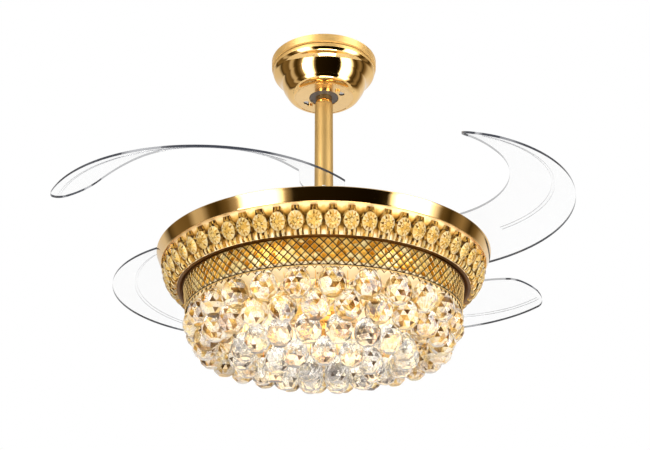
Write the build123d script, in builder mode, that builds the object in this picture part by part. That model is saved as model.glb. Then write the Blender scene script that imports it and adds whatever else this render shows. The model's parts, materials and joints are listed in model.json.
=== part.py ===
"""Ceiling fan with four folding clear blades above a crystal chandelier lamp. Sizes are in millimetres.

The origin is the centre of the ceiling bracket's top face and +Z points up. The blades stand half open, as in
the photograph. From the top down: bracket and canopy, downrod, motor with the blade carrier and its gears, lamp
body with crystal and lattice bands, and a dome of hanging crystal balls.
"""

import os
from math import acos, cos, degrees, hypot, pi, radians, sin, tan

from build123d import *

os.makedirs("parts", exist_ok=True)

# Driving dimensions
ring_drop = 350.0
ring_radius = 250.0
ring_lean = 8.0
ring_height = 19.0
ring_wall = 1.5
ring_hem = 6.0

# Ceiling bracket
bracket_length = 112.0
bracket_width = 38.0
bracket_thickness = 2.5
bracket_slot_spacing = 89.0
bracket_slot_width = 5.6
bracket_slot_length = 16.0
bracket_leg_width = 22.0
seat_height = 10.5
seat_wall = 9.0

# Canopy
canopy_radius = 85.3
canopy_height = 66.5
canopy_wall = 1.4
canopy_band_height = 12.0
canopy_band_taper = 0.5
canopy_groove = 3.3
canopy_groove_height = 1.5
canopy_shoulder_bulge = 1.6
canopy_shoulder_height = 12.5
canopy_shoulder_radius = 79.5
canopy_neck_radius = 68.5
canopy_neck_drop = 38.5
canopy_bowl_radius = 60.5
canopy_bowl_drop = 57.0
canopy_bowl_bulge = 1.3
canopy_floor_radius = 48.2
canopy_hole_radius = 23.5
keyhole_radius = 4.6
keyhole_slot_width = 5.0
keyhole_pitch_radius = 31.5
keyhole_turn = 20.0
keyhole_end_turn = 6.0
keyhole_angle = -45.0
canopy_screw_radius = 2.0
canopy_screw_head_radius = 4.0
canopy_screw_head_height = 2.4
canopy_screw_grip = 8.0

# Hanger ball, its pin and the remote receiver above it
ball_seat_gap = 0.3
hanger_ball_radius = 30.0
hanger_ball_drop = 46.0
hanger_ball_top_drop = 21.0
hanger_ball_bottom_gap = 0.4
hanger_pin_radius = 3.0
hanger_pin_length = 50.0
hanger_pin_drop = 34.0
receiver_length = 70.0
receiver_width = 36.0
receiver_height = 12.0
receiver_fillet = 3.0

# Downrod and its satin sleeve
rod_radius = 13.35
rod_bore_radius = 11.4
rod_head_room = 4.0
rod_clearance = 0.2
sleeve_radius = 14.6
sleeve_clearance = 0.1
sleeve_top_drop = 79.0

# Coupler between the downrod and the motor shaft
coupler_radius = 23.0
coupler_height = 36.0
coupler_above_ring = 64.0
coupler_web = 2.0
rod_grip = 17.0
coupler_bolt_radius = 3.0
coupler_bolt_overhang = 3.0
coupler_bolt_head_radius = 5.2
coupler_bolt_head_height = 3.6
coupler_bolt_rise = 9.0
set_screw_radius = 2.5
set_screw_rise = 9.0
cover_clearance = 0.3
cover_foot_radius = 43.0
cover_waist_radius = 31.5
cover_waist_rise = 32.0
cover_neck_radius = 17.0
cover_neck_height = 48.0

# Motor
shaft_radius = 8.5
shaft_bore_radius = 5.0
shaft_flange_radius = 24.0
shaft_flange_height = 3.0
shaft_tail = 14.0
shaft_nut_radius = 14.0
shaft_nut_height = 10.0
fit_clearance = 0.05
rotor_gap = 1.5
rotor_radius = 86.0
rotor_wall = 7.0
rotor_plate = 3.0
rotor_height = 39.0
rotor_edge_chamfer = 2.5
rotor_eye_radius = 12.0
bearing_radius = 20.0
bearing_width = 10.0
bearing_boss_wall = 4.0
bearing_shield_inset = 0.8
bearing_race_wall = 2.6
stator_radius = 66.0
stator_back_radius = 34.0
stator_height = 12.0
stator_teeth = 12
tooth_width = 7.0
tooth_tip_width = 25.0
tooth_tip_depth = 5.0
coil_wall = 4.0
coil_gap = 0.3
coil_inner_gap = 2.0
magnet_gap = 1.5
magnet_height = 15.0
rotor_screw_radius = 2.0
rotor_screw_count = 4
carrier_screw_radius = 2.5
carrier_screw_head_radius = 4.5
carrier_screw_head_height = 3.0
carrier_screw_pitch_radius = 44.0

# Blade carrier, gears and cover
blade_count = 4
pivot_radius = 140.0
carrier_radius = 96.0
carrier_thickness = 6.0
carrier_arm_radius = 18.0
carrier_bore_radius = 30.0
post_radius = 6.0
gear_width = 7.0
gear_gap = 0.3
sun_teeth = 40
pinion_teeth = 16
pressure_angle = 20.0
addendum_share = 0.9
dedendum_share = 1.25
tooth_backlash = 0.6
sun_bore_radius = 60.0
sun_running_clearance = 0.08
boss_over_gear = 0.7
hub_radius = 17.0
hub_height = 3.0
cap_head_radius = 8.5
cap_head_height = 2.2
cap_shank_radius = 2.5
cap_shank_length = 10.0
gear_cover_radius = 92.0
gear_cover_shoulder_radius = 72.0
gear_cover_shoulder_rise = 21.0
gear_cover_crown_radius = 34.0
gear_cover_height = 31.0
gear_cover_wall = 1.5
spring_inner_radius = 62.0
spring_pitch = 4.0
spring_half_turns = 6
spring_strip = 0.8
spring_width = 4.0
spring_gap = 0.5

# Clear blades: a dished sheet, part of a cone round the dish centre
blade_radius = 230.0
blade_dish_drop = 37.74
blade_thickness = 3.0
# place of the dish centre from the pivot, as shares of the blade radius
dish_center_share = (-0.1148, -0.687)
blade_root_angle = 47.0
blade_tip_angle = -62.0
# angle in degrees round the dish centre and distance from it as a share of the blade radius
tip_corner_share = (-67.4, 0.979)
tip_end_share = (-68.8, 0.895)
tip_flare_share = (-56.7, 0.739)
neck_share = (-36.8, 0.632)
inner_share = (-0.8, 0.630)
heel_share = (51.2, 0.620)
pad_half_width = 34.0
pad_outer_half_width = 28.0
pad_end_radius = 32.0
pad_reach = 52.0
pad_flank_reach = 60.0
pad_flank_bulge = 4.0
boss_radius = 18.0
boss_height = 19.0
boss_seat_drop = 0.7
boss_bore_clearance = 0.3
blade_screw_count = 3
blade_screw_radius = 1.9
blade_screw_pitch_radius = 12.6
blade_screw_head_radius = 3.2
blade_screw_head_height = 2.0
# place of the rib's centre from the dish centre, and its radius, as shares of the blade radius
rib_center_share = (0.0026, -0.0904)
rib_radius_share = 0.8548
rib_width = 4.0
rib_height = 1.0
rib_start_radius = 46.0

# Body pan under the motor
pan_depth = 34.0
pan_wall = 1.5
pan_well_radius = 100.0
pan_well_lip_radius = 110.0
pan_seat_gap = 0.4

# Crystal band on its wall
gem_count = 60
gem_wall_gap = 5.0
gem_wall_lean = 20.0
gem_wall_sheet = 1.2
gem_height = 35.0
gem_width_share = 0.985
gem_top_gap = 0.4
gem_foot_gap = 0.4
# a crystal is a cut lens between a foot and a pointed crest, in shares of its width and of the slope's height
lens_sides = 10
lens_width_share = 0.46
lens_height_share = 0.255
lens_middle_share = 0.5
lens_depth_share = 0.55
lens_taper = 30.0
foot_shares = (0.36, 0.28, 0.3)
crest_shares = ((0.3, 0.7), (0.36, 0.84), (0.0, 1.0))
gem_end_depth_share = 0.3
gem_end_taper = 15.0

# Step ring, lattice band and liner
step_width = 8.5
step_hem = 0.9
step_sheet = 1.2
lattice_lean = 5.5
lattice_top_depth = 52.0
lattice_bottom_depth = 92.6
lattice_walls = 48
lattice_rows = 3
lattice_wall = 1.6
lattice_rim = 2.6
lattice_strut = 2.4
liner_gap = 5.0
liner_sheet = 1.0

# Chassis plate and what it carries
plate_depth = 85.0
plate_thickness = 1.2
vent_groups = 4
vent_slots = 5
vent_pitch = 4.0
vent_width = 2.0
vent_length = 9.0
vent_radius_share = 0.794
post_column_radius = 4.0
post_circle_share = 0.7737
support_post_count = 4
support_post_angle = 20.0
plate_screw_radius = 2.0
plate_screw_head_radius = 3.8
plate_screw_head_height = 2.2
plate_screw_grip = 10.0
driver_length = 120.0
driver_width = 40.0
driver_height = 24.0
driver_offset_share = 0.5526
driver_fillet = 3.0
# radii and width of the two light rings as shares of the plate radius
led_radius_shares = (0.4823, 0.668)
led_ring_share = 0.1005
led_board_thickness = 1.6
led_lens_height = 6.0
led_lens_bevel = 4.0

# Hanging crystal balls
crystal_ball_share = 0.093
ball_facets = 8
ball_girdle_share = 0.925
ball_half_height_share = 0.92
ball_bevel_share = 0.54
# each tier's circle radius as a share of the plate radius, and its drop under the lenses in ball radii
tier_radius_shares = (0.9395, 0.864, 0.7335, 0.603, 0.3617, 0.1356)
tier_drop_shares = (0.957, 2.389, 0.957, 3.2, 4.065, 4.605)
tier_counts = (25, 25, 20, 18, 11, 4)
tier_start_angles = (-86.4, -93.6, -90.0, -80.0, -90.0, -45.0)
pin_width = 1.6

# Centre cup under the plate
cup_top_radius = 50.0
cup_middle_radius = 37.0
cup_low_radius = 16.0
cup_step = 14.0
cup_foot = 16.0
cup_wall = 1.2
stud_radius = 3.0
finial_radius = 8.0
finial_height = 9.0

# Levels, worked out from the top of the lamp's gold ring
ring_top_z = -ring_drop
ring_bottom_z = ring_top_z - ring_height
pan_floor_z = ring_top_z - pan_depth
pan_seat_z = pan_floor_z + pan_wall
shaft_flange_z = pan_seat_z + shaft_flange_height
rotor_bottom_z = shaft_flange_z + rotor_gap
rotor_split_z = rotor_bottom_z + rotor_height / 2
rotor_top_z = rotor_bottom_z + rotor_height
carrier_top_z = rotor_top_z + carrier_thickness
gear_z = carrier_top_z + gear_gap
gear_top_z = gear_z + gear_width
journal_top_z = gear_top_z + boss_over_gear
hub_top_z = gear_top_z + hub_height
boss_top_z = hub_top_z + boss_height
post_top_z = boss_top_z + gear_gap
coupler_z = ring_top_z + coupler_above_ring
coupler_top_z = coupler_z + coupler_height
rod_bottom_z = coupler_top_z - rod_grip
shaft_top_z = rod_bottom_z - coupler_web
canopy_seat_z = canopy_wall - canopy_height
seat_top_z = canopy_seat_z + seat_height
gem_top_z = ring_bottom_z - gem_top_gap
gem_bottom_z = gem_top_z - gem_height
lattice_top_z = ring_top_z - lattice_top_depth
lattice_bottom_z = ring_top_z - lattice_bottom_depth
plate_top_z = ring_top_z - plate_depth
plate_bottom_z = plate_top_z - plate_thickness
board_bottom_z = plate_bottom_z - led_board_thickness
lens_bottom_z = board_bottom_z - led_lens_height
hem_bottom_z = ring_top_z - ring_wall
flange_bottom_z = hem_bottom_z - pan_wall
cup_shelf_z = plate_bottom_z - 2 * cup_step
cup_bottom_z = cup_shelf_z - cup_foot

# Radii of the lamp body, worked out inwards from its gold ring
ring_bottom_radius = ring_radius - ring_lean
gem_wall_top_radius = ring_bottom_radius - gem_wall_gap
gem_wall_bottom_radius = gem_wall_top_radius - gem_wall_lean
lattice_top_radius = gem_wall_bottom_radius - step_width
lattice_bottom_radius = lattice_top_radius - lattice_lean
lattice_slant = lattice_lean / (lattice_top_z - lattice_bottom_z)
plate_radius = lattice_top_radius - liner_gap - lattice_slant * (lattice_top_z - plate_top_z)
crystal_ball_radius = crystal_ball_share * plate_radius


def save(part, label):
    """Names a finished piece and writes it under that name."""
    part.label = label
    export_step(part, f"parts/{label}.step")


def polar(radius, angle, center=(0.0, 0.0)):
    """Gives the point at a radius and an angle in degrees round a centre."""
    return (center[0] + radius * cos(radians(angle)), center[1] + radius * sin(radians(angle)))


# Ceiling bracket: a slotted plate, two legs and the seat ring of the hanger ball
seat_outer_radius = hanger_ball_radius + seat_wall
leg_x = seat_outer_radius - bracket_thickness / 2
leg_height = -bracket_thickness - seat_top_z
with BuildPart() as ceiling_bracket:
    with BuildSketch(Plane.XY.offset(-bracket_thickness)) as bracket_plate:
        RectangleRounded(bracket_length, bracket_width, bracket_slot_width)
        with Locations((-bracket_slot_spacing / 2, 0), (bracket_slot_spacing / 2, 0)):
            SlotOverall(bracket_slot_length, bracket_slot_width, mode=Mode.SUBTRACT)
    extrude(amount=bracket_thickness)
    with BuildSketch(Plane.XY.offset(seat_top_z)) as bracket_legs:
        with Locations((-leg_x, 0), (leg_x, 0)):
            Rectangle(bracket_thickness, bracket_leg_width)
    extrude(amount=leg_height)
    with BuildSketch(Plane.XY.offset(canopy_seat_z)) as seat_ring:
        Circle(seat_outer_radius)
        with PolarLocations(keyhole_pitch_radius, 2, keyhole_angle):
            Circle(canopy_screw_radius, mode=Mode.SUBTRACT)
    extrude(amount=seat_height)
    with Locations((0, 0, -hanger_ball_drop)):
        Sphere(hanger_ball_radius + ball_seat_gap, mode=Mode.SUBTRACT)
save(ceiling_bracket.part, "ceiling_bracket")

# Canopy: a spun shell with a band, a groove, a rolled shoulder and a bowl
band_foot_radius = canopy_radius - canopy_band_taper
groove_radius = canopy_radius - canopy_groove
groove_z = -canopy_band_height - canopy_groove_height
shoulder_z = groove_z - canopy_shoulder_height
bowl_mid_z = -(canopy_neck_drop + canopy_bowl_drop) / 2
bowl_mid_radius = (canopy_neck_radius + canopy_bowl_radius) / 2 + canopy_bowl_bulge
floor_mid_z = -(canopy_bowl_drop + canopy_height) / 2 - canopy_bowl_bulge
floor_mid_radius = (canopy_bowl_radius + canopy_floor_radius) / 2 + canopy_bowl_bulge
keyhole_sweep = keyhole_turn + keyhole_end_turn
keyhole_start = keyhole_angle - keyhole_end_turn
with BuildPart() as canopy:
    with BuildSketch(Plane.XZ) as canopy_profile:
        with BuildLine():
            Polyline(
                (0, 0),
                (canopy_radius, 0),
                (band_foot_radius, -canopy_band_height),
                (groove_radius, groove_z),
            )
            ThreePointArc(
                (groove_radius, groove_z),
                (groove_radius + canopy_shoulder_bulge / 2, (groove_z + shoulder_z) / 2),
                (canopy_shoulder_radius, shoulder_z),
            )
            Line((canopy_shoulder_radius, shoulder_z), (canopy_neck_radius, -canopy_neck_drop))
            ThreePointArc(
                (canopy_neck_radius, -canopy_neck_drop),
                (bowl_mid_radius, bowl_mid_z),
                (canopy_bowl_radius, -canopy_bowl_drop),
            )
            ThreePointArc(
                (canopy_bowl_radius, -canopy_bowl_drop),
                (floor_mid_radius, floor_mid_z),
                (canopy_floor_radius, -canopy_height),
            )
            Polyline((canopy_floor_radius, -canopy_height), (0, -canopy_height), (0, 0))
        make_face()
    revolve(axis=Axis.Z)
    with BuildSketch(Plane.XZ) as canopy_hollow:
        Polygon(
            (0, canopy_wall),
            (canopy_radius - canopy_wall, canopy_wall),
            (groove_radius - 2 * canopy_wall, groove_z),
            (canopy_shoulder_radius - 2 * canopy_wall, shoulder_z + canopy_wall),
            (canopy_neck_radius - 2 * canopy_wall, -canopy_neck_drop),
            (canopy_bowl_radius - 2 * canopy_wall, -canopy_bowl_drop),
            (canopy_floor_radius, canopy_seat_z),
            (0, canopy_seat_z),
        )
    revolve(axis=Axis.Z, mode=Mode.SUBTRACT)
    with BuildSketch(Plane.XY.offset(-canopy_height)) as canopy_holes:
        Circle(canopy_hole_radius)
        with PolarLocations(keyhole_pitch_radius, 2, keyhole_angle + keyhole_turn):
            Circle(keyhole_radius)
        for half_turn in (0.0, 180.0):
            with BuildLine():
                CenterArc((0, 0), keyhole_pitch_radius, half_turn + keyhole_start, keyhole_sweep)
            trace(line_width=keyhole_slot_width)
    extrude(amount=canopy_wall, mode=Mode.SUBTRACT)
save(canopy.part, "canopy")

with BuildPart() as canopy_screws:
    with BuildSketch(Plane.XY.offset(-canopy_height - canopy_screw_head_height)) as canopy_heads:
        with PolarLocations(keyhole_pitch_radius, 2, keyhole_angle):
            Circle(canopy_screw_head_radius)
    extrude(amount=canopy_screw_head_height)
    with BuildSketch(Plane.XY.offset(-canopy_height)) as canopy_shanks:
        with PolarLocations(keyhole_pitch_radius, 2, keyhole_angle):
            Circle(canopy_screw_radius)
    extrude(amount=canopy_screw_grip)
save(canopy_screws.part, "canopy_screws")

# Hanger ball with its cross pin, and the slim receiver between it and the bracket plate
ball_bottom_drop = canopy_height - hanger_ball_bottom_gap
with BuildPart() as hanger_ball:
    with Locations((0, 0, -hanger_ball_drop)):
        Sphere(hanger_ball_radius)
    with BuildSketch(Plane.XY.offset(-ball_bottom_drop)) as ball_slice:
        Circle(hanger_ball_radius)
    extrude(amount=ball_bottom_drop - hanger_ball_top_drop, mode=Mode.INTERSECT)
    with BuildSketch(Plane.XY.offset(-ball_bottom_drop)) as ball_bore:
        Circle(rod_radius + rod_clearance)
    extrude(amount=ball_bottom_drop, mode=Mode.SUBTRACT)
    with BuildSketch(Plane.YZ.offset(-hanger_pin_length / 2)) as ball_pin_hole:
        with Locations((0, -hanger_pin_drop)):
            Circle(hanger_pin_radius + rod_clearance)
    extrude(amount=hanger_pin_length, mode=Mode.SUBTRACT)
save(hanger_ball.part, "hanger_ball")

with BuildPart() as hanger_pin:
    with BuildSketch(Plane.YZ.offset(-hanger_pin_length / 2)) as pin_section:
        with Locations((0, -hanger_pin_drop)):
            Circle(hanger_pin_radius)
    extrude(amount=hanger_pin_length)
save(hanger_pin.part, "hanger_pin")

with BuildPart() as remote_receiver:
    with BuildSketch(Plane.XY.offset(-bracket_thickness - receiver_height)) as receiver_plan:
        RectangleRounded(receiver_length, receiver_width, receiver_fillet)
    extrude(amount=receiver_height)
save(remote_receiver.part, "remote_receiver")

# Downrod, satin sleeve, coupler and its cover
rod_top_z = -hanger_ball_top_drop - rod_head_room
bolt_z = rod_bottom_z + coupler_bolt_rise
set_screw_z = coupler_z + set_screw_rise
with BuildPart() as downrod:
    with BuildSketch(Plane.XY.offset(rod_bottom_z)) as rod_section:
        Circle(rod_radius)
        Circle(rod_bore_radius, mode=Mode.SUBTRACT)
    extrude(amount=rod_top_z - rod_bottom_z)
    with BuildSketch(Plane.YZ.offset(-rod_radius)) as rod_cross_holes:
        with Locations((0, -hanger_pin_drop), (0, bolt_z)):
            Circle(hanger_pin_radius + fit_clearance)
    extrude(amount=2 * rod_radius, mode=Mode.SUBTRACT)
save(downrod.part, "downrod")

with BuildPart() as rod_sleeve:
    with BuildSketch(Plane.XY.offset(coupler_top_z)) as sleeve_section:
        Circle(sleeve_radius)
        Circle(rod_radius + sleeve_clearance, mode=Mode.SUBTRACT)
    extrude(amount=-sleeve_top_drop - coupler_top_z)
save(rod_sleeve.part, "rod_sleeve")

with BuildPart() as coupler:
    with BuildSketch(Plane.XZ) as coupler_profile:
        Polygon(
            (shaft_radius + fit_clearance, coupler_z),
            (coupler_radius, coupler_z),
            (coupler_radius, coupler_top_z),
            (rod_radius + sleeve_clearance, coupler_top_z),
            (rod_radius + sleeve_clearance, rod_bottom_z),
            (shaft_bore_radius, rod_bottom_z),
            (shaft_bore_radius, shaft_top_z),
            (shaft_radius + fit_clearance, shaft_top_z),
        )
    revolve(axis=Axis.Z)
    with BuildSketch(Plane.YZ.offset(-coupler_radius)) as coupler_bolt_hole:
        with Locations((0, bolt_z)):
            Circle(coupler_bolt_radius + fit_clearance)
    extrude(amount=2 * coupler_radius, mode=Mode.SUBTRACT)
    with BuildSketch(Plane.XZ.offset(-coupler_radius)) as coupler_set_holes:
        with Locations((0, set_screw_z)):
            Circle(set_screw_radius)
    extrude(amount=2 * coupler_radius, mode=Mode.SUBTRACT)
save(coupler.part, "coupler")

with BuildPart() as coupler_bolts:
    with BuildSketch(Plane.YZ.offset(-coupler_radius - coupler_bolt_overhang)) as bolt_section:
        with Locations((0, bolt_z)):
            Circle(coupler_bolt_radius)
    extrude(amount=2 * coupler_radius + coupler_bolt_overhang)
    with BuildSketch(Plane.YZ.offset(coupler_radius)) as bolt_head:
        with Locations((0, bolt_z)):
            RegularPolygon(coupler_bolt_head_radius, 6)
    extrude(amount=coupler_bolt_head_height)
    for side in (-1, 1):
        with BuildSketch(Plane.XZ.offset(side * coupler_radius)) as set_screw_section:
            with Locations((0, set_screw_z)):
                Circle(set_screw_radius)
        extrude(amount=side * (shaft_radius - coupler_radius))
save(coupler_bolts.part, "coupler_bolts")

bolt_reach = hypot(coupler_radius + coupler_bolt_head_height, coupler_bolt_head_radius)
cover_bore_radius = bolt_reach + cover_clearance
cover_top_z = coupler_z + cover_neck_height
with BuildPart() as coupler_cover:
    with BuildSketch(Plane.XZ) as cover_profile:
        with BuildLine():
            Polyline(
                (cover_neck_radius, cover_top_z),
                (sleeve_radius + cover_clearance, cover_top_z),
                (sleeve_radius + cover_clearance, coupler_top_z),
                (coupler_radius + cover_clearance, coupler_top_z),
                (cover_bore_radius, bolt_z + coupler_bolt_head_radius),
                (cover_bore_radius, coupler_z),
                (cover_foot_radius, coupler_z),
            )
            ThreePointArc(
                (cover_foot_radius, coupler_z),
                (cover_waist_radius, coupler_z + cover_waist_rise),
                (cover_neck_radius, cover_top_z),
            )
        make_face()
    revolve(axis=Axis.Z)
save(coupler_cover.part, "coupler_cover")

# Motor shaft: hollow, with the flange that stands on the body pan, and the nut under it
with BuildPart() as motor_shaft:
    with BuildSketch(Plane.XZ) as shaft_profile:
        Polygon(
            (shaft_bore_radius, pan_floor_z - shaft_tail),
            (shaft_radius, pan_floor_z - shaft_tail),
            (shaft_radius, pan_seat_z),
            (shaft_flange_radius, pan_seat_z),
            (shaft_flange_radius, shaft_flange_z),
            (shaft_radius, shaft_flange_z),
            (shaft_radius, shaft_top_z),
            (shaft_bore_radius, shaft_top_z),
        )
    revolve(axis=Axis.Z)
save(motor_shaft.part, "motor_shaft")

with BuildPart() as shaft_nut:
    with BuildSketch(Plane.XY.offset(pan_floor_z - shaft_nut_height)) as nut_section:
        RegularPolygon(shaft_nut_radius, 6)
        Circle(shaft_radius + fit_clearance, mode=Mode.SUBTRACT)
    extrude(amount=shaft_nut_height)
save(shaft_nut.part, "shaft_nut")

# Motor bearings
lower_bearing_z = rotor_bottom_z + rotor_plate
upper_bearing_z = rotor_top_z - rotor_plate - bearing_width
for bearing_name, bearing_z in (("lower_bearing", lower_bearing_z), ("upper_bearing", upper_bearing_z)):
    with BuildPart() as bearing:
        with BuildSketch(Plane.XY.offset(bearing_z)) as bearing_section:
            Circle(bearing_radius)
            Circle(shaft_radius + fit_clearance, mode=Mode.SUBTRACT)
        extrude(amount=bearing_width)
        for face_z, inset in ((bearing_z, 1), (bearing_z + bearing_width, -1)):
            with BuildSketch(Plane.XY.offset(face_z)) as bearing_groove:
                Circle(bearing_radius - bearing_race_wall)
                Circle(shaft_radius + bearing_race_wall, mode=Mode.SUBTRACT)
            extrude(amount=inset * bearing_shield_inset, mode=Mode.SUBTRACT)
    save(bearing.part, bearing_name)

# Stator: a toothed core and a coil on each tooth
stator_mid_z = (lower_bearing_z + upper_bearing_z + bearing_width) / 2
stator_z = stator_mid_z - stator_height / 2
tooth_length = stator_radius - stator_back_radius
tooth_center = (stator_radius + stator_back_radius) / 2
with BuildPart() as stator_core:
    with BuildSketch(Plane.XY.offset(stator_z)) as core_plan:
        Circle(stator_back_radius)
        with PolarLocations(tooth_center - tooth_width / 2, stator_teeth):
            Rectangle(tooth_length + tooth_width, tooth_width)
        with PolarLocations(stator_radius - tooth_tip_depth / 2, stator_teeth):
            Rectangle(tooth_tip_depth, tooth_tip_width)
        Circle(shaft_radius, mode=Mode.SUBTRACT)
    extrude(amount=stator_height)
save(stator_core.part, "stator_core")

coil_length = tooth_length - tooth_tip_depth - coil_inner_gap - 2 * coil_gap - tooth_width / 2
coil_center = stator_radius - tooth_tip_depth - coil_gap - coil_length / 2 - tooth_width / 2
coil_hole = tooth_width + 2 * coil_gap
coil_height = stator_height + 2 * coil_gap
with BuildPart() as stator_windings:
    with BuildSketch(Plane.XY.offset(stator_mid_z - coil_height / 2 - coil_wall)) as coil_plan:
        with PolarLocations(coil_center, stator_teeth):
            Rectangle(coil_length, coil_hole + 2 * coil_wall)
    extrude(amount=coil_height + 2 * coil_wall)
    with BuildSketch(Plane.XY.offset(stator_mid_z - coil_height / 2)) as coil_window:
        with PolarLocations(coil_center, stator_teeth):
            Rectangle(coil_length + coil_wall, coil_hole)
    extrude(amount=coil_height, mode=Mode.SUBTRACT)
save(stator_windings.part, "stator_windings")

# Rotor: two cast shells that hold the bearings and the magnet ring
rotor_inner_radius = rotor_radius - rotor_wall
bearing_boss_radius = bearing_radius + bearing_boss_wall


def rotor_shell(plate_z, inward, split_z):
    """Makes one rotor shell: plate, outer wall and bearing boss. inward is 1 when its open side is up."""
    with BuildPart() as shell:
        with BuildSketch(Plane.XZ) as shell_profile:
            Polygon(
                (rotor_eye_radius, plate_z),
                (rotor_radius - rotor_edge_chamfer, plate_z),
                (rotor_radius, plate_z + inward * rotor_edge_chamfer),
                (rotor_radius, split_z),
                (rotor_inner_radius, split_z),
                (rotor_inner_radius, plate_z + inward * rotor_plate),
                (bearing_boss_radius, plate_z + inward * rotor_plate),
                (bearing_boss_radius, plate_z + inward * (rotor_plate + bearing_width)),
                (bearing_radius, plate_z + inward * (rotor_plate + bearing_width)),
                (bearing_radius, plate_z + inward * rotor_plate),
                (rotor_eye_radius, plate_z + inward * rotor_plate),
            )
        revolve(axis=Axis.Z)
    return shell.part


rotor_screw_pitch_radius = rotor_radius - rotor_wall / 2
with BuildPart() as rotor_lower_shell:
    add(rotor_shell(rotor_bottom_z, 1, rotor_split_z))
    with BuildSketch(Plane.XY.offset(rotor_bottom_z)) as lower_shell_holes:
        with PolarLocations(rotor_screw_pitch_radius, rotor_screw_count):
            Circle(rotor_screw_radius)
    extrude(amount=rotor_height, mode=Mode.SUBTRACT)
save(rotor_lower_shell.part, "rotor_lower_shell")

with BuildPart() as rotor_upper_shell:
    add(rotor_shell(rotor_top_z, -1, rotor_split_z))
    with BuildSketch(Plane.XY.offset(rotor_bottom_z)) as upper_shell_holes:
        with PolarLocations(rotor_screw_pitch_radius, rotor_screw_count):
            Circle(rotor_screw_radius)
        with PolarLocations(carrier_screw_pitch_radius, rotor_screw_count):
            Circle(carrier_screw_radius)
    extrude(amount=rotor_height, mode=Mode.SUBTRACT)
save(rotor_upper_shell.part, "rotor_upper_shell")

with BuildPart() as magnet_ring:
    with BuildSketch(Plane.XY.offset(stator_mid_z - magnet_height / 2)) as magnet_section:
        Circle(rotor_inner_radius)
        Circle(hypot(stator_radius, tooth_tip_width / 2) + magnet_gap, mode=Mode.SUBTRACT)
    extrude(amount=magnet_height)
save(magnet_ring.part, "magnet_ring")

with BuildPart() as rotor_screws:
    with BuildSketch(Plane.XY.offset(rotor_bottom_z)) as rotor_screw_section:
        with PolarLocations(rotor_screw_pitch_radius, rotor_screw_count):
            Circle(rotor_screw_radius)
    extrude(amount=rotor_height)
    with BuildSketch(Plane.XY.offset(rotor_top_z - rotor_plate)) as carrier_screw_section:
        with PolarLocations(carrier_screw_pitch_radius, rotor_screw_count):
            Circle(carrier_screw_radius)
    extrude(amount=journal_top_z - carrier_screw_head_height - rotor_top_z + rotor_plate)
    with BuildSketch(Plane.XY.offset(journal_top_z - carrier_screw_head_height)) as carrier_head_section:
        with PolarLocations(carrier_screw_pitch_radius, rotor_screw_count):
            Circle(carrier_screw_head_radius)
    extrude(amount=carrier_screw_head_height)
save(rotor_screws.part, "rotor_screws")

# Blade carrier: disc, four arms with pivot posts, and the raised journal that the sun gear turns on
journal_radius = sun_bore_radius - sun_running_clearance
with BuildPart() as blade_carrier:
    with BuildSketch(Plane.XY.offset(rotor_top_z)) as carrier_plan:
        Circle(carrier_radius)
        with PolarLocations(pivot_radius / 2, blade_count):
            Rectangle(pivot_radius, 2 * carrier_arm_radius)
        with PolarLocations(pivot_radius, blade_count):
            Circle(carrier_arm_radius)
        Circle(carrier_bore_radius, mode=Mode.SUBTRACT)
    extrude(amount=carrier_thickness)
    with BuildSketch(Plane.XY.offset(carrier_top_z)) as journal_plan:
        Circle(journal_radius)
        Circle(carrier_bore_radius, mode=Mode.SUBTRACT)
    extrude(amount=journal_top_z - carrier_top_z)
    with BuildSketch(Plane.XY.offset(carrier_top_z)) as post_plan:
        with PolarLocations(pivot_radius, blade_count):
            Circle(post_radius)
    extrude(amount=post_top_z - carrier_top_z)
    with BuildSketch(Plane.XY.offset(post_top_z - cap_shank_length)) as post_thread:
        with PolarLocations(pivot_radius, blade_count):
            Circle(cap_shank_radius)
    extrude(amount=cap_shank_length, mode=Mode.SUBTRACT)
    with BuildSketch(Plane.XY.offset(rotor_top_z)) as carrier_screw_holes:
        with PolarLocations(carrier_screw_pitch_radius, rotor_screw_count):
            Circle(carrier_screw_radius)
    extrude(amount=journal_top_z - rotor_top_z, mode=Mode.SUBTRACT)
    with BuildSketch(Plane.XY.offset(journal_top_z - carrier_screw_head_height)) as carrier_counterbores:
        with PolarLocations(carrier_screw_pitch_radius, rotor_screw_count):
            Circle(carrier_screw_head_radius)
    extrude(amount=carrier_screw_head_height, mode=Mode.SUBTRACT)
save(blade_carrier.part, "blade_carrier")

with BuildPart() as pivot_caps:
    with BuildSketch(Plane.XY.offset(post_top_z - cap_shank_length)) as cap_shanks:
        with PolarLocations(pivot_radius, blade_count):
            Circle(cap_shank_radius)
    extrude(amount=cap_shank_length)
    with BuildSketch(Plane.XY.offset(post_top_z)) as cap_heads:
        with PolarLocations(pivot_radius, blade_count):
            Circle(cap_head_radius)
    extrude(amount=cap_head_height)
save(pivot_caps.part, "pivot_caps")

# Gears: the free sun gear ties the four blade pinions together
gear_module = 2 * pivot_radius / (sun_teeth + pinion_teeth)


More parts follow.
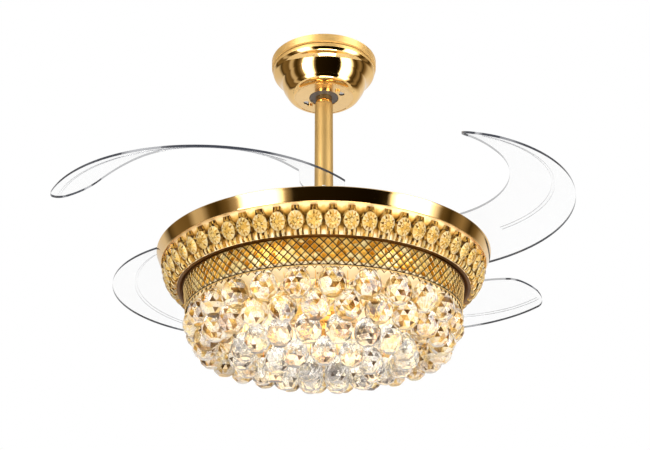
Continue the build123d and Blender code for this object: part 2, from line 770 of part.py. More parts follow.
def gear_outline(teeth, start_angle):
    """Draws a gear in the current sketch, each flank a chord chain through points of the involute."""
    pitch = gear_module * teeth / 2
    base = pitch * cos(radians(pressure_angle))
    root = pitch - dedendum_share * gear_module
    tip = pitch + addendum_share * gear_module
    flank_start = max(root, base)
    rolled = tan(radians(pressure_angle)) - radians(pressure_angle)

    def half_width(radius):
        """Half the tooth's angle at a radius, from the involute."""
        turn = acos(min(1.0, base / radius))
        return pi / (2 * teeth) - tooth_backlash / (4 * pitch) + rolled - (tan(turn) - turn)

    flank = ((root, half_width(flank_start)), (pitch, half_width(pitch)), (tip, half_width(tip)))
    points = []
    for tooth in range(teeth):
        middle = start_angle + tooth * 360.0 / teeth
        for radius, half in flank:
            points.append(polar(radius, middle - degrees(half)))
        for radius, half in reversed(flank):
            points.append(polar(radius, middle + degrees(half)))
    Polygon(*points)


with BuildPart() as sun_gear:
    with BuildSketch(Plane.XY.offset(gear_z)) as sun_plan:
        gear_outline(sun_teeth, 0.0)
        Circle(sun_bore_radius, mode=Mode.SUBTRACT)
    extrude(amount=gear_width)
save(sun_gear.part, "sun_gear")

# Return spring: a flat spiral strip of half circles that lies on the sun gear
with BuildPart() as return_spring:
    with BuildSketch(Plane.XY.offset(gear_top_z + spring_gap)) as spring_plan:
        with BuildLine():
            for half_turn in range(spring_half_turns):
                arc_center = 0 if half_turn % 2 == 0 else spring_pitch / 2
                arc_radius = spring_inner_radius + half_turn * spring_pitch / 2
                CenterArc((arc_center, 0), arc_radius, 180.0 * (half_turn % 2), 180.0)
        trace(line_width=spring_strip)
    extrude(amount=spring_width)
save(return_spring.part, "return_spring")

# Gear cover: a shallow dome that turns with the rotor and stands on the journal
cover_rim_z = gear_top_z + spring_gap
cover_shoulder_z = cover_rim_z + gear_cover_shoulder_rise
cover_crown_z = cover_rim_z + gear_cover_height
with BuildPart() as gear_cover:
    with BuildSketch(Plane.XZ) as gear_cover_profile:
        with BuildLine():
            Polyline(
                (gear_cover_radius, cover_rim_z),
                (gear_cover_radius - gear_cover_wall, cover_rim_z),
                (gear_cover_shoulder_radius - gear_cover_wall, cover_shoulder_z - gear_cover_wall),
                (gear_cover_crown_radius, cover_crown_z - gear_cover_wall),
                (carrier_bore_radius + gear_cover_wall, cover_crown_z - gear_cover_wall),
                (carrier_bore_radius + gear_cover_wall, journal_top_z),
                (carrier_bore_radius, journal_top_z),
                (carrier_bore_radius, cover_crown_z),
                (gear_cover_crown_radius, cover_crown_z),
            )
            ThreePointArc(
                (gear_cover_crown_radius, cover_crown_z),
                (gear_cover_shoulder_radius, cover_shoulder_z),
                (gear_cover_radius, cover_rim_z),
            )
        make_face()
    revolve(axis=Axis.Z)
save(gear_cover.part, "gear_cover")

# Clear blades
dish_x = pivot_radius + dish_center_share[0] * blade_radius
dish_y = dish_center_share[1] * blade_radius
dish_center = (dish_x, dish_y)
pivot_to_dish = hypot(*dish_center_share) * blade_radius
sheet_rise = blade_dish_drop / (blade_radius - pivot_to_dish)
sheet_depth = blade_thickness * hypot(sheet_rise, 1)
rib_center = (dish_x + rib_center_share[0] * blade_radius, dish_y + rib_center_share[1] * blade_radius)
rib_radius = rib_radius_share * blade_radius
pivot_sheet_z = boss_top_z + boss_seat_drop
apex_z = pivot_sheet_z + sheet_rise * pivot_to_dish
rim_reach = blade_radius + pad_half_width
eye_reach = pivot_to_dish - 2 * pad_half_width


def dish_point(place):
    """Gives a plan point from an angle round the dish centre and a share of the blade radius."""
    return polar(place[1] * blade_radius, place[0], dish_center)


root_corner = polar(blade_radius, blade_root_angle, dish_center)
tip_corner = polar(blade_radius, blade_tip_angle, dish_center)
outer_middle = polar(blade_radius, (blade_root_angle + blade_tip_angle) / 2, dish_center)
tip_end = dish_point(tip_end_share)
neck = dish_point(neck_share)
heel = dish_point(heel_share)
pad_near = (pivot_radius + pad_reach, -pad_half_width)
pad_far = (pivot_radius + pad_flank_reach, pad_outer_half_width)
pad_end = (pivot_radius - pad_end_radius, pad_outer_half_width - pad_half_width)
flank_middle = ((pad_far[0] + root_corner[0]) / 2, (pad_far[1] + root_corner[1]) / 2 + pad_flank_bulge)
with BuildSketch() as blade_outline:
    with BuildLine():
        ThreePointArc(root_corner, outer_middle, tip_corner)
        ThreePointArc(tip_corner, dish_point(tip_corner_share), tip_end)
        ThreePointArc(tip_end, dish_point(tip_flare_share), neck)
        ThreePointArc(neck, dish_point(inner_share), heel)
        Polyline(heel, pad_near, (pivot_radius, -pad_half_width))
        ThreePointArc((pivot_radius, -pad_half_width), pad_end, (pivot_radius, pad_outer_half_width))
        Line((pivot_radius, pad_outer_half_width), pad_far)
        ThreePointArc(pad_far, flank_middle, root_corner)
    make_face()


def dish_section(depth):
    """Draws the section of the dished sheet, with the given depth under its upper face."""
    Polygon(
        (eye_reach, apex_z - sheet_rise * eye_reach),
        (rim_reach, apex_z - sheet_rise * rim_reach),
        (rim_reach, apex_z - sheet_rise * rim_reach - depth),
        (eye_reach, apex_z - sheet_rise * eye_reach - depth),
    )


dish_axis = Axis((dish_x, dish_y, 0), (0, 0, 1))
dish_plane = Plane(origin=(dish_x, dish_y, 0), x_dir=(1, 0, 0), z_dir=(0, -1, 0))
blade_prism_z = apex_z - sheet_rise * rim_reach - sheet_depth
blade_prism_height = apex_z - blade_prism_z

with BuildPart() as blade_rib:
    with BuildSketch(Plane.XY.offset(blade_prism_z)) as rib_plan:
        add(blade_outline.sketch)
        with Locations(rib_center):
            Circle(rib_radius + rib_width / 2, mode=Mode.INTERSECT)
            Circle(rib_radius - rib_width / 2, mode=Mode.SUBTRACT)
        with Locations((pivot_radius, 0)):
            Circle(rib_start_radius, mode=Mode.SUBTRACT)
    extrude(amount=blade_prism_height)
    with BuildSketch(dish_plane) as rib_section:
        dish_section(sheet_depth + rib_height)
    revolve(axis=dish_axis, mode=Mode.INTERSECT)

with BuildPart() as blade_blank:
    with BuildSketch(Plane.XY.offset(blade_prism_z)) as sheet_plan:
        add(blade_outline.sketch)
    extrude(amount=blade_prism_height)
    with BuildSketch(dish_plane) as sheet_section:
        dish_section(sheet_depth)
    revolve(axis=dish_axis, mode=Mode.INTERSECT)
    add(blade_rib.part)
    with BuildSketch(Plane.XY.offset(hub_top_z)) as boss_plan:
        with Locations((pivot_radius, 0)):
            Circle(boss_radius)
    extrude(amount=boss_height)
    with BuildSketch(Plane.XY.offset(boss_top_z)) as boss_recess:
        with Locations((pivot_radius, 0)):
            Circle(boss_radius)
    extrude(amount=apex_z - boss_top_z, mode=Mode.SUBTRACT)
    with BuildSketch(Plane.XY.offset(blade_prism_z)) as boss_holes:
        with Locations((pivot_radius, 0)):
            Circle(post_radius + boss_bore_clearance)
            with PolarLocations(blade_screw_pitch_radius, blade_screw_count):
                Circle(blade_screw_radius)
    extrude(amount=blade_prism_height, mode=Mode.SUBTRACT)

with BuildPart() as pinion_blank:
    with BuildSketch(Plane.XY.offset(gear_z)) as pinion_plan:
        gear_outline(pinion_teeth, 180.0 / pinion_teeth)
    extrude(amount=gear_width)
    with BuildSketch(Plane.XY.offset(gear_top_z)) as hub_plan:
        Circle(hub_radius)
    extrude(amount=hub_height)
    with BuildSketch(Plane.XY.offset(gear_z)) as pinion_holes:
        Circle(post_radius + fit_clearance)
        with PolarLocations(blade_screw_pitch_radius, blade_screw_count):
            Circle(blade_screw_radius)
    extrude(amount=gear_width + hub_height, mode=Mode.SUBTRACT)

with BuildPart() as blade_screw_blank:
    with BuildSketch(Plane.XY.offset(gear_z)) as blade_shanks:
        with PolarLocations(blade_screw_pitch_radius, blade_screw_count):
            Circle(blade_screw_radius)
    extrude(amount=boss_top_z - gear_z)
    with BuildSketch(Plane.XY.offset(boss_top_z)) as blade_heads:
        with PolarLocations(blade_screw_pitch_radius, blade_screw_count):
            Circle(blade_screw_head_radius)
    extrude(amount=blade_screw_head_height)

blade_angles = (-90.0, 180.0, 0.0, 90.0)
for number, blade_angle in enumerate(blade_angles, start=1):
    turned = Location((0, 0, 0), (0, 0, blade_angle))
    seated = turned * Location((pivot_radius, 0, 0))
    with BuildPart() as blade:
        with Locations(turned):
            add(blade_blank.part)
    save(blade.part, f"blade_{number}")
    with BuildPart() as pinion:
        with Locations(seated):
            add(pinion_blank.part)
    save(pinion.part, f"pinion_{number}")
    with BuildPart() as blade_screws:
        with Locations(seated):
            add(blade_screw_blank.part)
    save(blade_screws.part, f"blade_screws_{number}")

# Lamp body: pan and gold ring
ring_slant = (ring_radius - ring_bottom_radius) / ring_height
flange_radius = ring_radius - ring_wall - ring_slant * (ring_top_z - flange_bottom_z) - pan_seat_gap
with BuildPart() as body_pan:
    with BuildSketch(Plane.XZ) as pan_profile:
        Polygon(
            (shaft_radius + fit_clearance, pan_floor_z),
            (pan_well_radius, pan_floor_z),
            (pan_well_lip_radius, flange_bottom_z),
            (flange_radius, flange_bottom_z),
            (flange_radius, hem_bottom_z),
            (pan_well_lip_radius - pan_wall, hem_bottom_z),
            (pan_well_radius - pan_wall, pan_seat_z),
            (shaft_radius + fit_clearance, pan_seat_z),
        )
    revolve(axis=Axis.Z)
save(body_pan.part, "body_pan")

with BuildPart() as top_ring:
    with BuildSketch(Plane.XZ) as ring_profile:
        Polygon(
            (ring_radius - ring_hem, ring_top_z),
            (ring_radius, ring_top_z),
            (ring_bottom_radius, ring_bottom_z),
            (ring_bottom_radius - ring_wall, ring_bottom_z),
            (ring_radius - ring_wall - ring_slant * ring_wall, hem_bottom_z),
            (ring_radius - ring_hem, hem_bottom_z),
        )
    revolve(axis=Axis.Z)
save(top_ring.part, "top_ring")

# Crystal band: a many-sided sloping wall with a crystal seated on each side
gem_wall_slant = (gem_wall_top_radius - gem_wall_bottom_radius) / gem_height
gem_wall_crest_radius = gem_wall_top_radius + gem_wall_slant * (flange_bottom_z - gem_top_z)


def many_sided_cone(sides, top_radius, top_z, bottom_radius, bottom_z, sheet):
    """Makes a thin sloping wall with flat sides, its radii measured to the flats."""
    with BuildPart() as wall:
        with BuildSketch(Plane.XY.offset(bottom_z)) as wall_foot:
            RegularPolygon(bottom_radius, sides, major_radius=False)
        with BuildSketch(Plane.XY.offset(top_z)) as wall_crest:
            RegularPolygon(top_radius, sides, major_radius=False)
        loft(ruled=True)
        with BuildSketch(Plane.XY.offset(bottom_z)) as hollow_foot:
            RegularPolygon(bottom_radius - sheet, sides, major_radius=False)
        with BuildSketch(Plane.XY.offset(top_z)) as hollow_crest:
            RegularPolygon(top_radius - sheet, sides, major_radius=False)
        loft(ruled=True, mode=Mode.SUBTRACT)
    return wall.part


def wall_plane(top_radius, top_z, bottom_radius, bottom_z):
    """Gives the plane of a sloping wall at +X: origin at the foot, y up the slope, normal pointing out."""
    rise = Vector(top_radius - bottom_radius, 0, top_z - bottom_z).normalized()
    return Plane(origin=(bottom_radius, 0, bottom_z), x_dir=(0, 1, 0), z_dir=(rise.Z, 0, -rise.X))


gem_wall = many_sided_cone(
    gem_count,
    gem_wall_crest_radius,
    flange_bottom_z,
    gem_wall_bottom_radius,
    gem_bottom_z,
    gem_wall_sheet,
)
save(gem_wall, "gem_wall")

gem_slope_height = hypot(gem_height, gem_wall_lean)
gem_width = gem_width_share * 2 * gem_wall_bottom_radius * tan(pi / gem_count)
lens_points = []
for side in range(lens_sides):
    turn = 2 * pi * side / lens_sides
    lens_x = lens_width_share * gem_width * sin(turn)
    lens_y = (lens_middle_share + lens_height_share * cos(turn)) * gem_slope_height
    lens_points.append((lens_x, lens_y))
foot_half, foot_neck, foot_top = foot_shares
crest = [(gem_width * x, gem_slope_height * y) for x, y in crest_shares]
crest_mirror = [(-x, y) for x, y in reversed(crest[:-1])]
gem_end_depth = gem_end_depth_share * gem_width
with BuildPart() as gem:
    gem_plane = wall_plane(gem_wall_top_radius, gem_top_z, gem_wall_bottom_radius, gem_bottom_z)
    with BuildSketch(gem_plane) as lens_front:
        Polygon(*lens_points)
    extrude(amount=lens_depth_share * gem_width, taper=lens_taper)
    with BuildSketch(gem_plane) as foot_front:
        Polygon(
            (-foot_half * gem_width, gem_foot_gap),
            (foot_half * gem_width, gem_foot_gap),
            (foot_neck * gem_width, foot_top * gem_slope_height),
            (-foot_neck * gem_width, foot_top * gem_slope_height),
        )
    extrude(amount=gem_end_depth, taper=gem_end_taper)
    with BuildSketch(gem_plane) as crest_front:
        Polygon(*crest, *crest_mirror)
    extrude(amount=gem_end_depth, taper=gem_end_taper)

with BuildPart() as crystal_gems:
    with PolarLocations(0, gem_count, 180.0 / gem_count):
        add(gem.part)
save(crystal_gems.part, "crystal_gems")

# Step ring under the crystals, lattice band and its liner
lattice_corner_radius = lattice_top_radius / cos(pi / lattice_walls)
step_inner_radius = gem_wall_bottom_radius - gem_wall_sheet - step_sheet
step_foot_radius = gem_wall_bottom_radius / cos(pi / gem_count) + step_hem
with BuildPart() as step_ring:
    with BuildSketch(Plane.XZ) as step_profile:
        Polygon(
            (step_foot_radius, gem_bottom_z),
            (step_foot_radius, gem_bottom_z - step_sheet),
            (step_inner_radius - step_sheet, gem_bottom_z - step_sheet),
            (lattice_corner_radius, lattice_top_z),
            (lattice_top_radius - liner_gap, lattice_top_z),
            (lattice_top_radius - liner_gap, lattice_top_z + step_sheet),
            (lattice_corner_radius + step_sheet, lattice_top_z + step_sheet),
            (step_inner_radius, gem_bottom_z),
        )
    revolve(axis=Axis.Z)
save(step_ring.part, "step_ring")

panel_width = 2 * lattice_bottom_radius * tan(pi / lattice_walls)
panel_height = hypot(lattice_lean, lattice_top_z - lattice_bottom_z)
diamond_height = (panel_height - 2 * lattice_rim) / lattice_rows
half_tall = (diamond_height - lattice_strut) / 2
half_wide = (panel_width - lattice_strut) / 2
lattice_plane = wall_plane(lattice_top_radius, lattice_top_z, lattice_bottom_radius, lattice_bottom_z)


def diamond_punch(first_row, row_count):
    """Makes the cutters of one column of diamonds, first_row counted in rows from the lower rim."""
    with BuildPart() as punch:
        with BuildSketch(lattice_plane) as diamond_plan:
            for row in range(row_count):
                middle = lattice_rim + (first_row + row) * diamond_height
                Polygon(
                    (0, middle - half_tall),
                    (half_wide, middle),
                    (0, middle + half_tall),
                    (-half_wide, middle),
                )
        extrude(amount=2 * lattice_wall, both=True)
    return punch.part


with BuildPart() as lattice_band:
    add(
        many_sided_cone(
            lattice_walls,
            lattice_top_radius,
            lattice_top_z,
            lattice_bottom_radius,
            lattice_bottom_z,
            lattice_wall,
        )
    )
    with PolarLocations(0, lattice_walls, 180.0 / lattice_walls):
        add(diamond_punch(1 / 2, lattice_rows), mode=Mode.SUBTRACT)
    with PolarLocations(0, lattice_walls):
        add(diamond_punch(1, lattice_rows - 1), mode=Mode.SUBTRACT)
save(lattice_band.part, "lattice_band")

lattice_liner = many_sided_cone(
    lattice_walls,
    lattice_top_radius - liner_gap,
    lattice_top_z,
    plate_radius,
    plate_top_z,
    liner_sheet,
)
save(lattice_liner, "lattice_liner")

# Chassis plate with vents, held by posts from the pan
post_circle_radius = post_circle_share * plate_radius
post_columns = PolarLocations(post_circle_radius, support_post_count, support_post_angle)
with BuildPart() as chassis_plate:
    with BuildSketch(Plane.XY.offset(plate_bottom_z)) as plate_plan:
        RegularPolygon(plate_radius, lattice_walls, major_radius=False)
        with PolarLocations(vent_radius_share * plate_radius, vent_groups):
            with GridLocations(0, vent_pitch, 1, vent_slots):
                Rectangle(vent_length, vent_width, mode=Mode.SUBTRACT)
        with post_columns:
            Circle(plate_screw_radius, mode=Mode.SUBTRACT)
        Circle(stud_radius, mode=Mode.SUBTRACT)
    extrude(amount=plate_thickness)
save(chassis_plate.part, "chassis_plate")

with BuildPart() as support_posts:
    with BuildSketch(Plane.XY.offset(plate_top_z)) as post_sections:
        with post_columns:
            RegularPolygon(post_column_radius, 6)
    extrude(amount=flange_bottom_z - plate_top_z)
    with BuildSketch(Plane.XY.offset(plate_top_z)) as post_bores:
        with post_columns:
            Circle(plate_screw_radius)
    extrude(amount=plate_screw_grip, mode=Mode.SUBTRACT)
save(support_posts.part, "support_posts")

with BuildPart() as plate_screws:
    with BuildSketch(Plane.XY.offset(plate_bottom_z)) as plate_shanks:
        with post_columns:
            Circle(plate_screw_radius)
    extrude(amount=plate_thickness + plate_screw_grip)
    with BuildSketch(Plane.XY.offset(plate_bottom_z - plate_screw_head_height)) as plate_heads:
        with post_columns:
            Circle(plate_screw_head_radius)
    extrude(amount=plate_screw_head_height)
save(plate_screws.part, "plate_screws")

# Light driver above the plate, light boards and frosted lenses below it
with BuildPart() as led_driver:
    with BuildSketch(Plane.XY.offset(plate_top_z)) as driver_plan:
        with Locations((0, driver_offset_share * plate_radius)):
            RectangleRounded(driver_length, driver_width, driver_fillet)
    extrude(amount=driver_height)
save(led_driver.part, "led_driver")

led_circles = [share * plate_radius for share in led_radius_shares]
led_ring_width = led_ring_share * plate_radius
with BuildPart() as led_boards:
    for circle_radius in led_circles:
        with BuildSketch(Plane.XY.offset(board_bottom_z)) as board_plan:
            Circle(circle_radius + led_ring_width / 2)
            Circle(circle_radius - led_ring_width / 2, mode=Mode.SUBTRACT)
        extrude(amount=led_board_thickness)
save(led_boards.part, "led_boards")

with BuildPart() as led_lenses:
    for circle_radius in led_circles:
        with BuildSketch(Plane.XZ) as lens_profile:
            Polygon(
                (circle_radius - led_ring_width / 2, board_bottom_z),
                (circle_radius + led_ring_width / 2, board_bottom_z),
                (circle_radius + led_ring_width / 2 - led_lens_bevel, lens_bottom_z),
                (circle_radius - led_ring_width / 2 + led_lens_bevel, lens_bottom_z),
            )
        revolve(axis=Axis.Z)
save(led_lenses.part, "led_lenses")

# Hanging crystal balls, each a faceted ball on a short pin
ball_half_height = ball_half_height_share * crystal_ball_radius
with BuildPart() as crystal_ball:
    with BuildSketch(Plane.XY.offset(-ball_half_height)) as ball_girdle:
        RegularPolygon(ball_girdle_share * crystal_ball_radius, ball_facets)
    extrude(amount=2 * ball_half_height)
    chamfer(crystal_ball.faces().filter_by(Axis.Z).edges(), length=ball_bevel_share * crystal_ball_radius)

tier_radii = [share * plate_radius for share in tier_radius_shares]
tier_levels = [lens_bottom_z - share * crystal_ball_radius for share in tier_drop_shares]
tiers = list(zip(tier_radii, tier_levels, tier_counts, tier_start_angles))
for number, (tier_radius, tier_z, ball_count, start_angle) in enumerate(tiers, start=1):
    with BuildPart() as ball_tier:
        with Locations((0, 0, tier_z)):
            with PolarLocations(tier_radius, ball_count, start_angle):
                add(crystal_ball.part)
    save(ball_tier.part, f"ball_tier_{number}")

with BuildPart() as ball_pins:
    for number, (tier_radius, tier_z, ball_count, start_angle) in enumerate(tiers, start=1):
        carried_z = cup_shelf_z if number == len(tiers) else plate_bottom_z
        ball_top_z = tier_z + ball_half_height
        with BuildSketch(Plane.XY.offset(ball_top_z)) as pin_plan:
            with PolarLocations(tier_radius, ball_count, start_angle):
                Rectangle(pin_width, pin_width)
        extrude(amount=carried_z - ball_top_z)
save(ball_pins.part, "ball_pins")

# Stepped centre cup with its stud and end nut
with BuildPart() as center_cup:
    with BuildSketch(Plane.XZ) as cup_profile:
        Polygon(
            (cup_top_radius, plate_bottom_z),
            (cup_top_radius, plate_bottom_z - cup_step),
            (cup_middle_radius, plate_bottom_z - cup_step),
            (cup_middle_radius, cup_shelf_z),
            (cup_low_radius, cup_shelf_z),
            (cup_low_radius, cup_bottom_z),
            (stud_radius, cup_bottom_z),
            (stud_radius, cup_bottom_z + cup_wall),
            (cup_low_radius - cup_wall, cup_bottom_z + cup_wall),
            (cup_low_radius - cup_wall, cup_shelf_z + cup_wall),
            (cup_middle_radius - cup_wall, cup_shelf_z + cup_wall),
            (cup_middle_radius - cup_wall, plate_bottom_z - cup_step + cup_wall),
            (cup_top_radius - cup_wall, plate_bottom_z - cup_step + cup_wall),
            (cup_top_radius - cup_wall, plate_bottom_z),
        )
    revolve(axis=Axis.Z)
save(center_cup.part, "center_cup")

with BuildPart() as center_stud:
    with BuildSketch(Plane.XZ) as stud_profile:
        Polygon(
            (0, cup_bottom_z - finial_height),
            (finial_radius / 2, cup_bottom_z - finial_height),
            (finial_radius, cup_bottom_z - finial_height / 3),
            (finial_radius, cup_bottom_z),
            (stud_radius, cup_bottom_z),
            (stud_radius, plate_top_z),
            (0, plate_top_z),
        )
    revolve(axis=Axis.Z)
save(center_stud.part, "center_stud")
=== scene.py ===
"""Looks of the chandelier ceiling fan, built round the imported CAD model. Lengths are in millimetres."""

import cmath
import json
import math
import random

import bmesh
import bpy
from mathutils import Matrix, Vector
from mathutils.geometry import delaunay_2d_cdt


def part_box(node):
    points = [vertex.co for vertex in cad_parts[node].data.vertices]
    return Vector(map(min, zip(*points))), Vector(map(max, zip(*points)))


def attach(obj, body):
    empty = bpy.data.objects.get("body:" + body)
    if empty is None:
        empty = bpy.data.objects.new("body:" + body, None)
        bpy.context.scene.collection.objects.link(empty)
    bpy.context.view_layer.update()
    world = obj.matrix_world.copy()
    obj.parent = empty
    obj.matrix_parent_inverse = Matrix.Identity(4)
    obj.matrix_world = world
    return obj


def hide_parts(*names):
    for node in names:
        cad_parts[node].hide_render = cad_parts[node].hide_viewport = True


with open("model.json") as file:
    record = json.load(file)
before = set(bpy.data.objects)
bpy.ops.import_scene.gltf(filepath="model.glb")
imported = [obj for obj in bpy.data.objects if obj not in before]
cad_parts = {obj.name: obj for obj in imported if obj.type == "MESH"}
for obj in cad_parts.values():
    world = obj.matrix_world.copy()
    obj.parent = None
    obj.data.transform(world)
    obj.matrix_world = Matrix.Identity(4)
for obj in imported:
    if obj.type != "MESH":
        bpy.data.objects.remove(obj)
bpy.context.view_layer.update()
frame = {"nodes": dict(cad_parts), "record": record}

MM = 0.001
nodes = frame["nodes"]
rng = random.Random(7)
subparts = frame["record"]["subparts"]
bodies = frame["record"]["behaviour"]["bodies"]
slot_of = {row["node"]: row["material_slot"] for row in subparts}
body_of = {name: body for body, names in bodies.items() for name in names}


def reach(node):
    """Gives a CAD node's largest X, lowest Z and highest Z in millimetres."""
    low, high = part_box(node)
    return high.x / MM, low.z / MM, high.z / MM


# Node materials


def material(name):
    """Makes a node material and gives it with its principled shader and its node tree."""
    made = bpy.data.materials.new(name)
    made.use_nodes = True
    return made, made.node_tree.nodes["Principled BSDF"], made.node_tree


def add_node(tree, kind, **values):
    """Adds a node and sets its inputs or its properties by name."""
    made = tree.nodes.new(kind)
    for key, value in values.items():
        name = key.replace("_", " ")
        if name in made.inputs:
            made.inputs[name].default_value = value
        else:
            setattr(made, key, value)
    return made


def colour_of(value):
    """Gives a colour with its alpha from a grey or a colour."""
    return (*value, 1.0) if isinstance(value, tuple) else (value, value, value, 1.0)


def ramp(tree, source, stops):
    """Adds a colour ramp over a value, from stops of a position and a grey or a colour."""
    made = add_node(tree, "ShaderNodeValToRGB")
    points = made.color_ramp.elements
    while len(points) < len(stops):
        points.new(0.5)
    for point, (place, value) in zip(points, stops):
        point.position = place
        point.color = colour_of(value)
    tree.links.new(source, made.inputs["Fac"])
    return made.outputs["Color"]


def noise(tree, stretch, size, detail=3.0):
    """Adds a noise over object coordinates stretched along each axis, and gives its value."""
    where = add_node(tree, "ShaderNodeTexCoord")
    mapping = add_node(tree, "ShaderNodeMapping", Scale=stretch)
    made = add_node(tree, "ShaderNodeTexNoise", Scale=size, Detail=detail)
    tree.links.new(where.outputs["Object"], mapping.inputs["Vector"])
    tree.links.new(mapping.outputs["Vector"], made.inputs["Vector"])
    return made.outputs["Fac"]


def scaled_share(tree, source, low, high):
    """Gives where a value lies between two others, from 0 to 1."""
    made = add_node(tree, "ShaderNodeMapRange")
    made.inputs["From Min"].default_value = low
    made.inputs["From Max"].default_value = high
    tree.links.new(source, made.inputs["Value"])
    return made.outputs["Result"]


def bump(tree, shader, source, strength, depth=0.3):
    """Puts a bump of a depth in millimetres on the shader."""
    made = add_node(tree, "ShaderNodeBump", Strength=strength, Distance=depth * MM)
    tree.links.new(source, made.inputs["Height"])
    tree.links.new(made.outputs["Normal"], shader.inputs["Normal"])


# stretches of a grain: even, drawn out upwards, and in fine level lines
EVEN = (1.0, 1.0, 1.0)
UPRIGHT = (1.0, 1.0, 0.06)
LEVEL = (1.0, 1.0, 30.0)
# fineness of noises, in waves to a metre
DRIFT_NOISE = 9.0
SHEET_NOISE = 30.0
WALL_NOISE = 150.0
DULL_NOISE = 500.0
# how strongly crystal bends light
CRYSTAL_IOR = 1.45


def surface(name, colours, roughness, metallic, stretch, size, bumpiness):
    """Makes a surface whose colour and roughness drift between two values, with a fine grain."""
    made, shader, tree = material(name)
    shader.inputs["Metallic"].default_value = metallic
    drift = noise(tree, EVEN, DRIFT_NOISE)
    grain = noise(tree, stretch, size, 5.0)
    tint = ramp(tree, drift, ((0.35, colours[0]), (0.65, colours[1])))
    gloss = ramp(tree, grain, ((0.3, roughness[0]), (0.7, roughness[1])))
    tree.links.new(tint, shader.inputs["Base Color"])
    tree.links.new(gloss, shader.inputs["Roughness"])
    bump(tree, shader, grain, bumpiness)
    return made


def crystal(name, stops, clearness, glow, glint):
    """Makes cut crystal, whose facets take their tints from the facet attribute, with a painted glow standing
    in for the lamp's light on them.
    """
    made, shader, tree = material(name)
    shader.inputs["Transmission Weight"].default_value = clearness
    shader.inputs["IOR"].default_value = CRYSTAL_IOR
    shader.inputs["Specular Tint"].default_value = colour_of(glint)
    shader.inputs["Roughness"].default_value = 0.02
    # painted glow: the facets give off their own tints as if lit by the lamp
    shader.inputs["Emission Strength"].default_value = glow
    facet = add_node(tree, "ShaderNodeAttribute", attribute_name="facet")
    tint = ramp(tree, facet.outputs["Fac"], stops)
    tree.links.new(tint, shader.inputs["Base Color"])
    tree.links.new(tint, shader.inputs["Emission Color"])
    return made


def clear_acrylic(name, cover, tints):
    """Makes clear acrylic, from how much it covers face on and at a glance, and its two tints."""
    made, shader, tree = material(name)
    shader.inputs["Roughness"].default_value = 0.04
    turned_away = add_node(tree, "ShaderNodeLayerWeight", Blend=0.35)
    glance = ramp(tree, turned_away.outputs["Facing"], ((0.0, cover[0]), (0.7, cover[0]), (1.0, cover[1])))
    tint = ramp(tree, noise(tree, EVEN, SHEET_NOISE), ((0.3, tints[0]), (0.7, tints[1])))
    tree.links.new(glance, shader.inputs["Alpha"])
    tree.links.new(tint, shader.inputs["Base Color"])
    return made


def patched_gold(name, patch_size, glow, stops):
    """Makes gold sheet in painted patches of light and dark, standing in for what small dents throw back,
    with a painted glow standing in for the lamp's light.
    """
    made, shader, tree = material(name)
    shader.inputs["Metallic"].default_value = 0.25
    shader.inputs["Roughness"].default_value = 0.25
    shader.inputs["Specular Tint"].default_value = colour_of(AMBER)
    where = add_node(tree, "ShaderNodeTexCoord")
    patches = add_node(tree, "ShaderNodeTexVoronoi", Scale=1.0 / (patch_size * MM))
    split = add_node(tree, "ShaderNodeSeparateXYZ")
    tree.links.new(where.outputs["Object"], patches.inputs["Vector"])
    tree.links.new(patches.outputs["Color"], split.inputs[0])
    # painted patches of reflected light and dark
    tint = ramp(tree, split.outputs["X"], stops)
    tree.links.new(tint, shader.inputs["Base Color"])
    tree.links.new(tint, shader.inputs["Emission Color"])
    # painted glow: the sheet gives off its tint as if lit by the lamp
    shader.inputs["Emission Strength"].default_value = glow
    bump(tree, shader, patches.outputs["Distance"], 0.4)
    return made


def banded_gold(name, low, high, ripple, stops):
    """Makes gold whose colour changes from one height to another, with a ripple of a height, painting light
    and shade up a wall.
    """
    made, shader, tree = material(name)
    shader.inputs["Roughness"].default_value = 0.35
    shader.inputs["Metallic"].default_value = 0.25
    shader.inputs["Specular Tint"].default_value = colour_of(AMBER)
    where = add_node(tree, "ShaderNodeTexCoord")
    split = add_node(tree, "ShaderNodeSeparateXYZ")
    moved = add_node(tree, "ShaderNodeMath", operation="MULTIPLY_ADD")
    moved.inputs[1].default_value = ripple * MM
    tree.links.new(where.outputs["Object"], split.inputs[0])
    tree.links.new(noise(tree, EVEN, WALL_NOISE), moved.inputs[0])
    tree.links.new(split.outputs["Z"], moved.inputs[2])
    height = scaled_share(tree, moved.outputs[0], low * MM, high * MM)
    tree.links.new(ramp(tree, height, stops), shader.inputs["Base Color"])
    return made


def lit_surface(name, tints, glow, strength):
    """Makes a dull surface between two tints, with a glow: a lamp's lens gives its own light, any other
    surface a painted glow standing in for the light the lamp gives it.
    """
    made, shader, tree = material(name)
    shader.inputs["Roughness"].default_value = 0.6
    shader.inputs["Emission Color"].default_value = colour_of(glow)
    shader.inputs["Emission Strength"].default_value = strength
    grain = noise(tree, EVEN, DULL_NOISE, 2.0)
    tree.links.new(ramp(tree, grain, ((0.3, tints[0]), (0.7, tints[1]))), shader.inputs["Base Color"])
    bump(tree, shader, grain, 0.1)
    return made


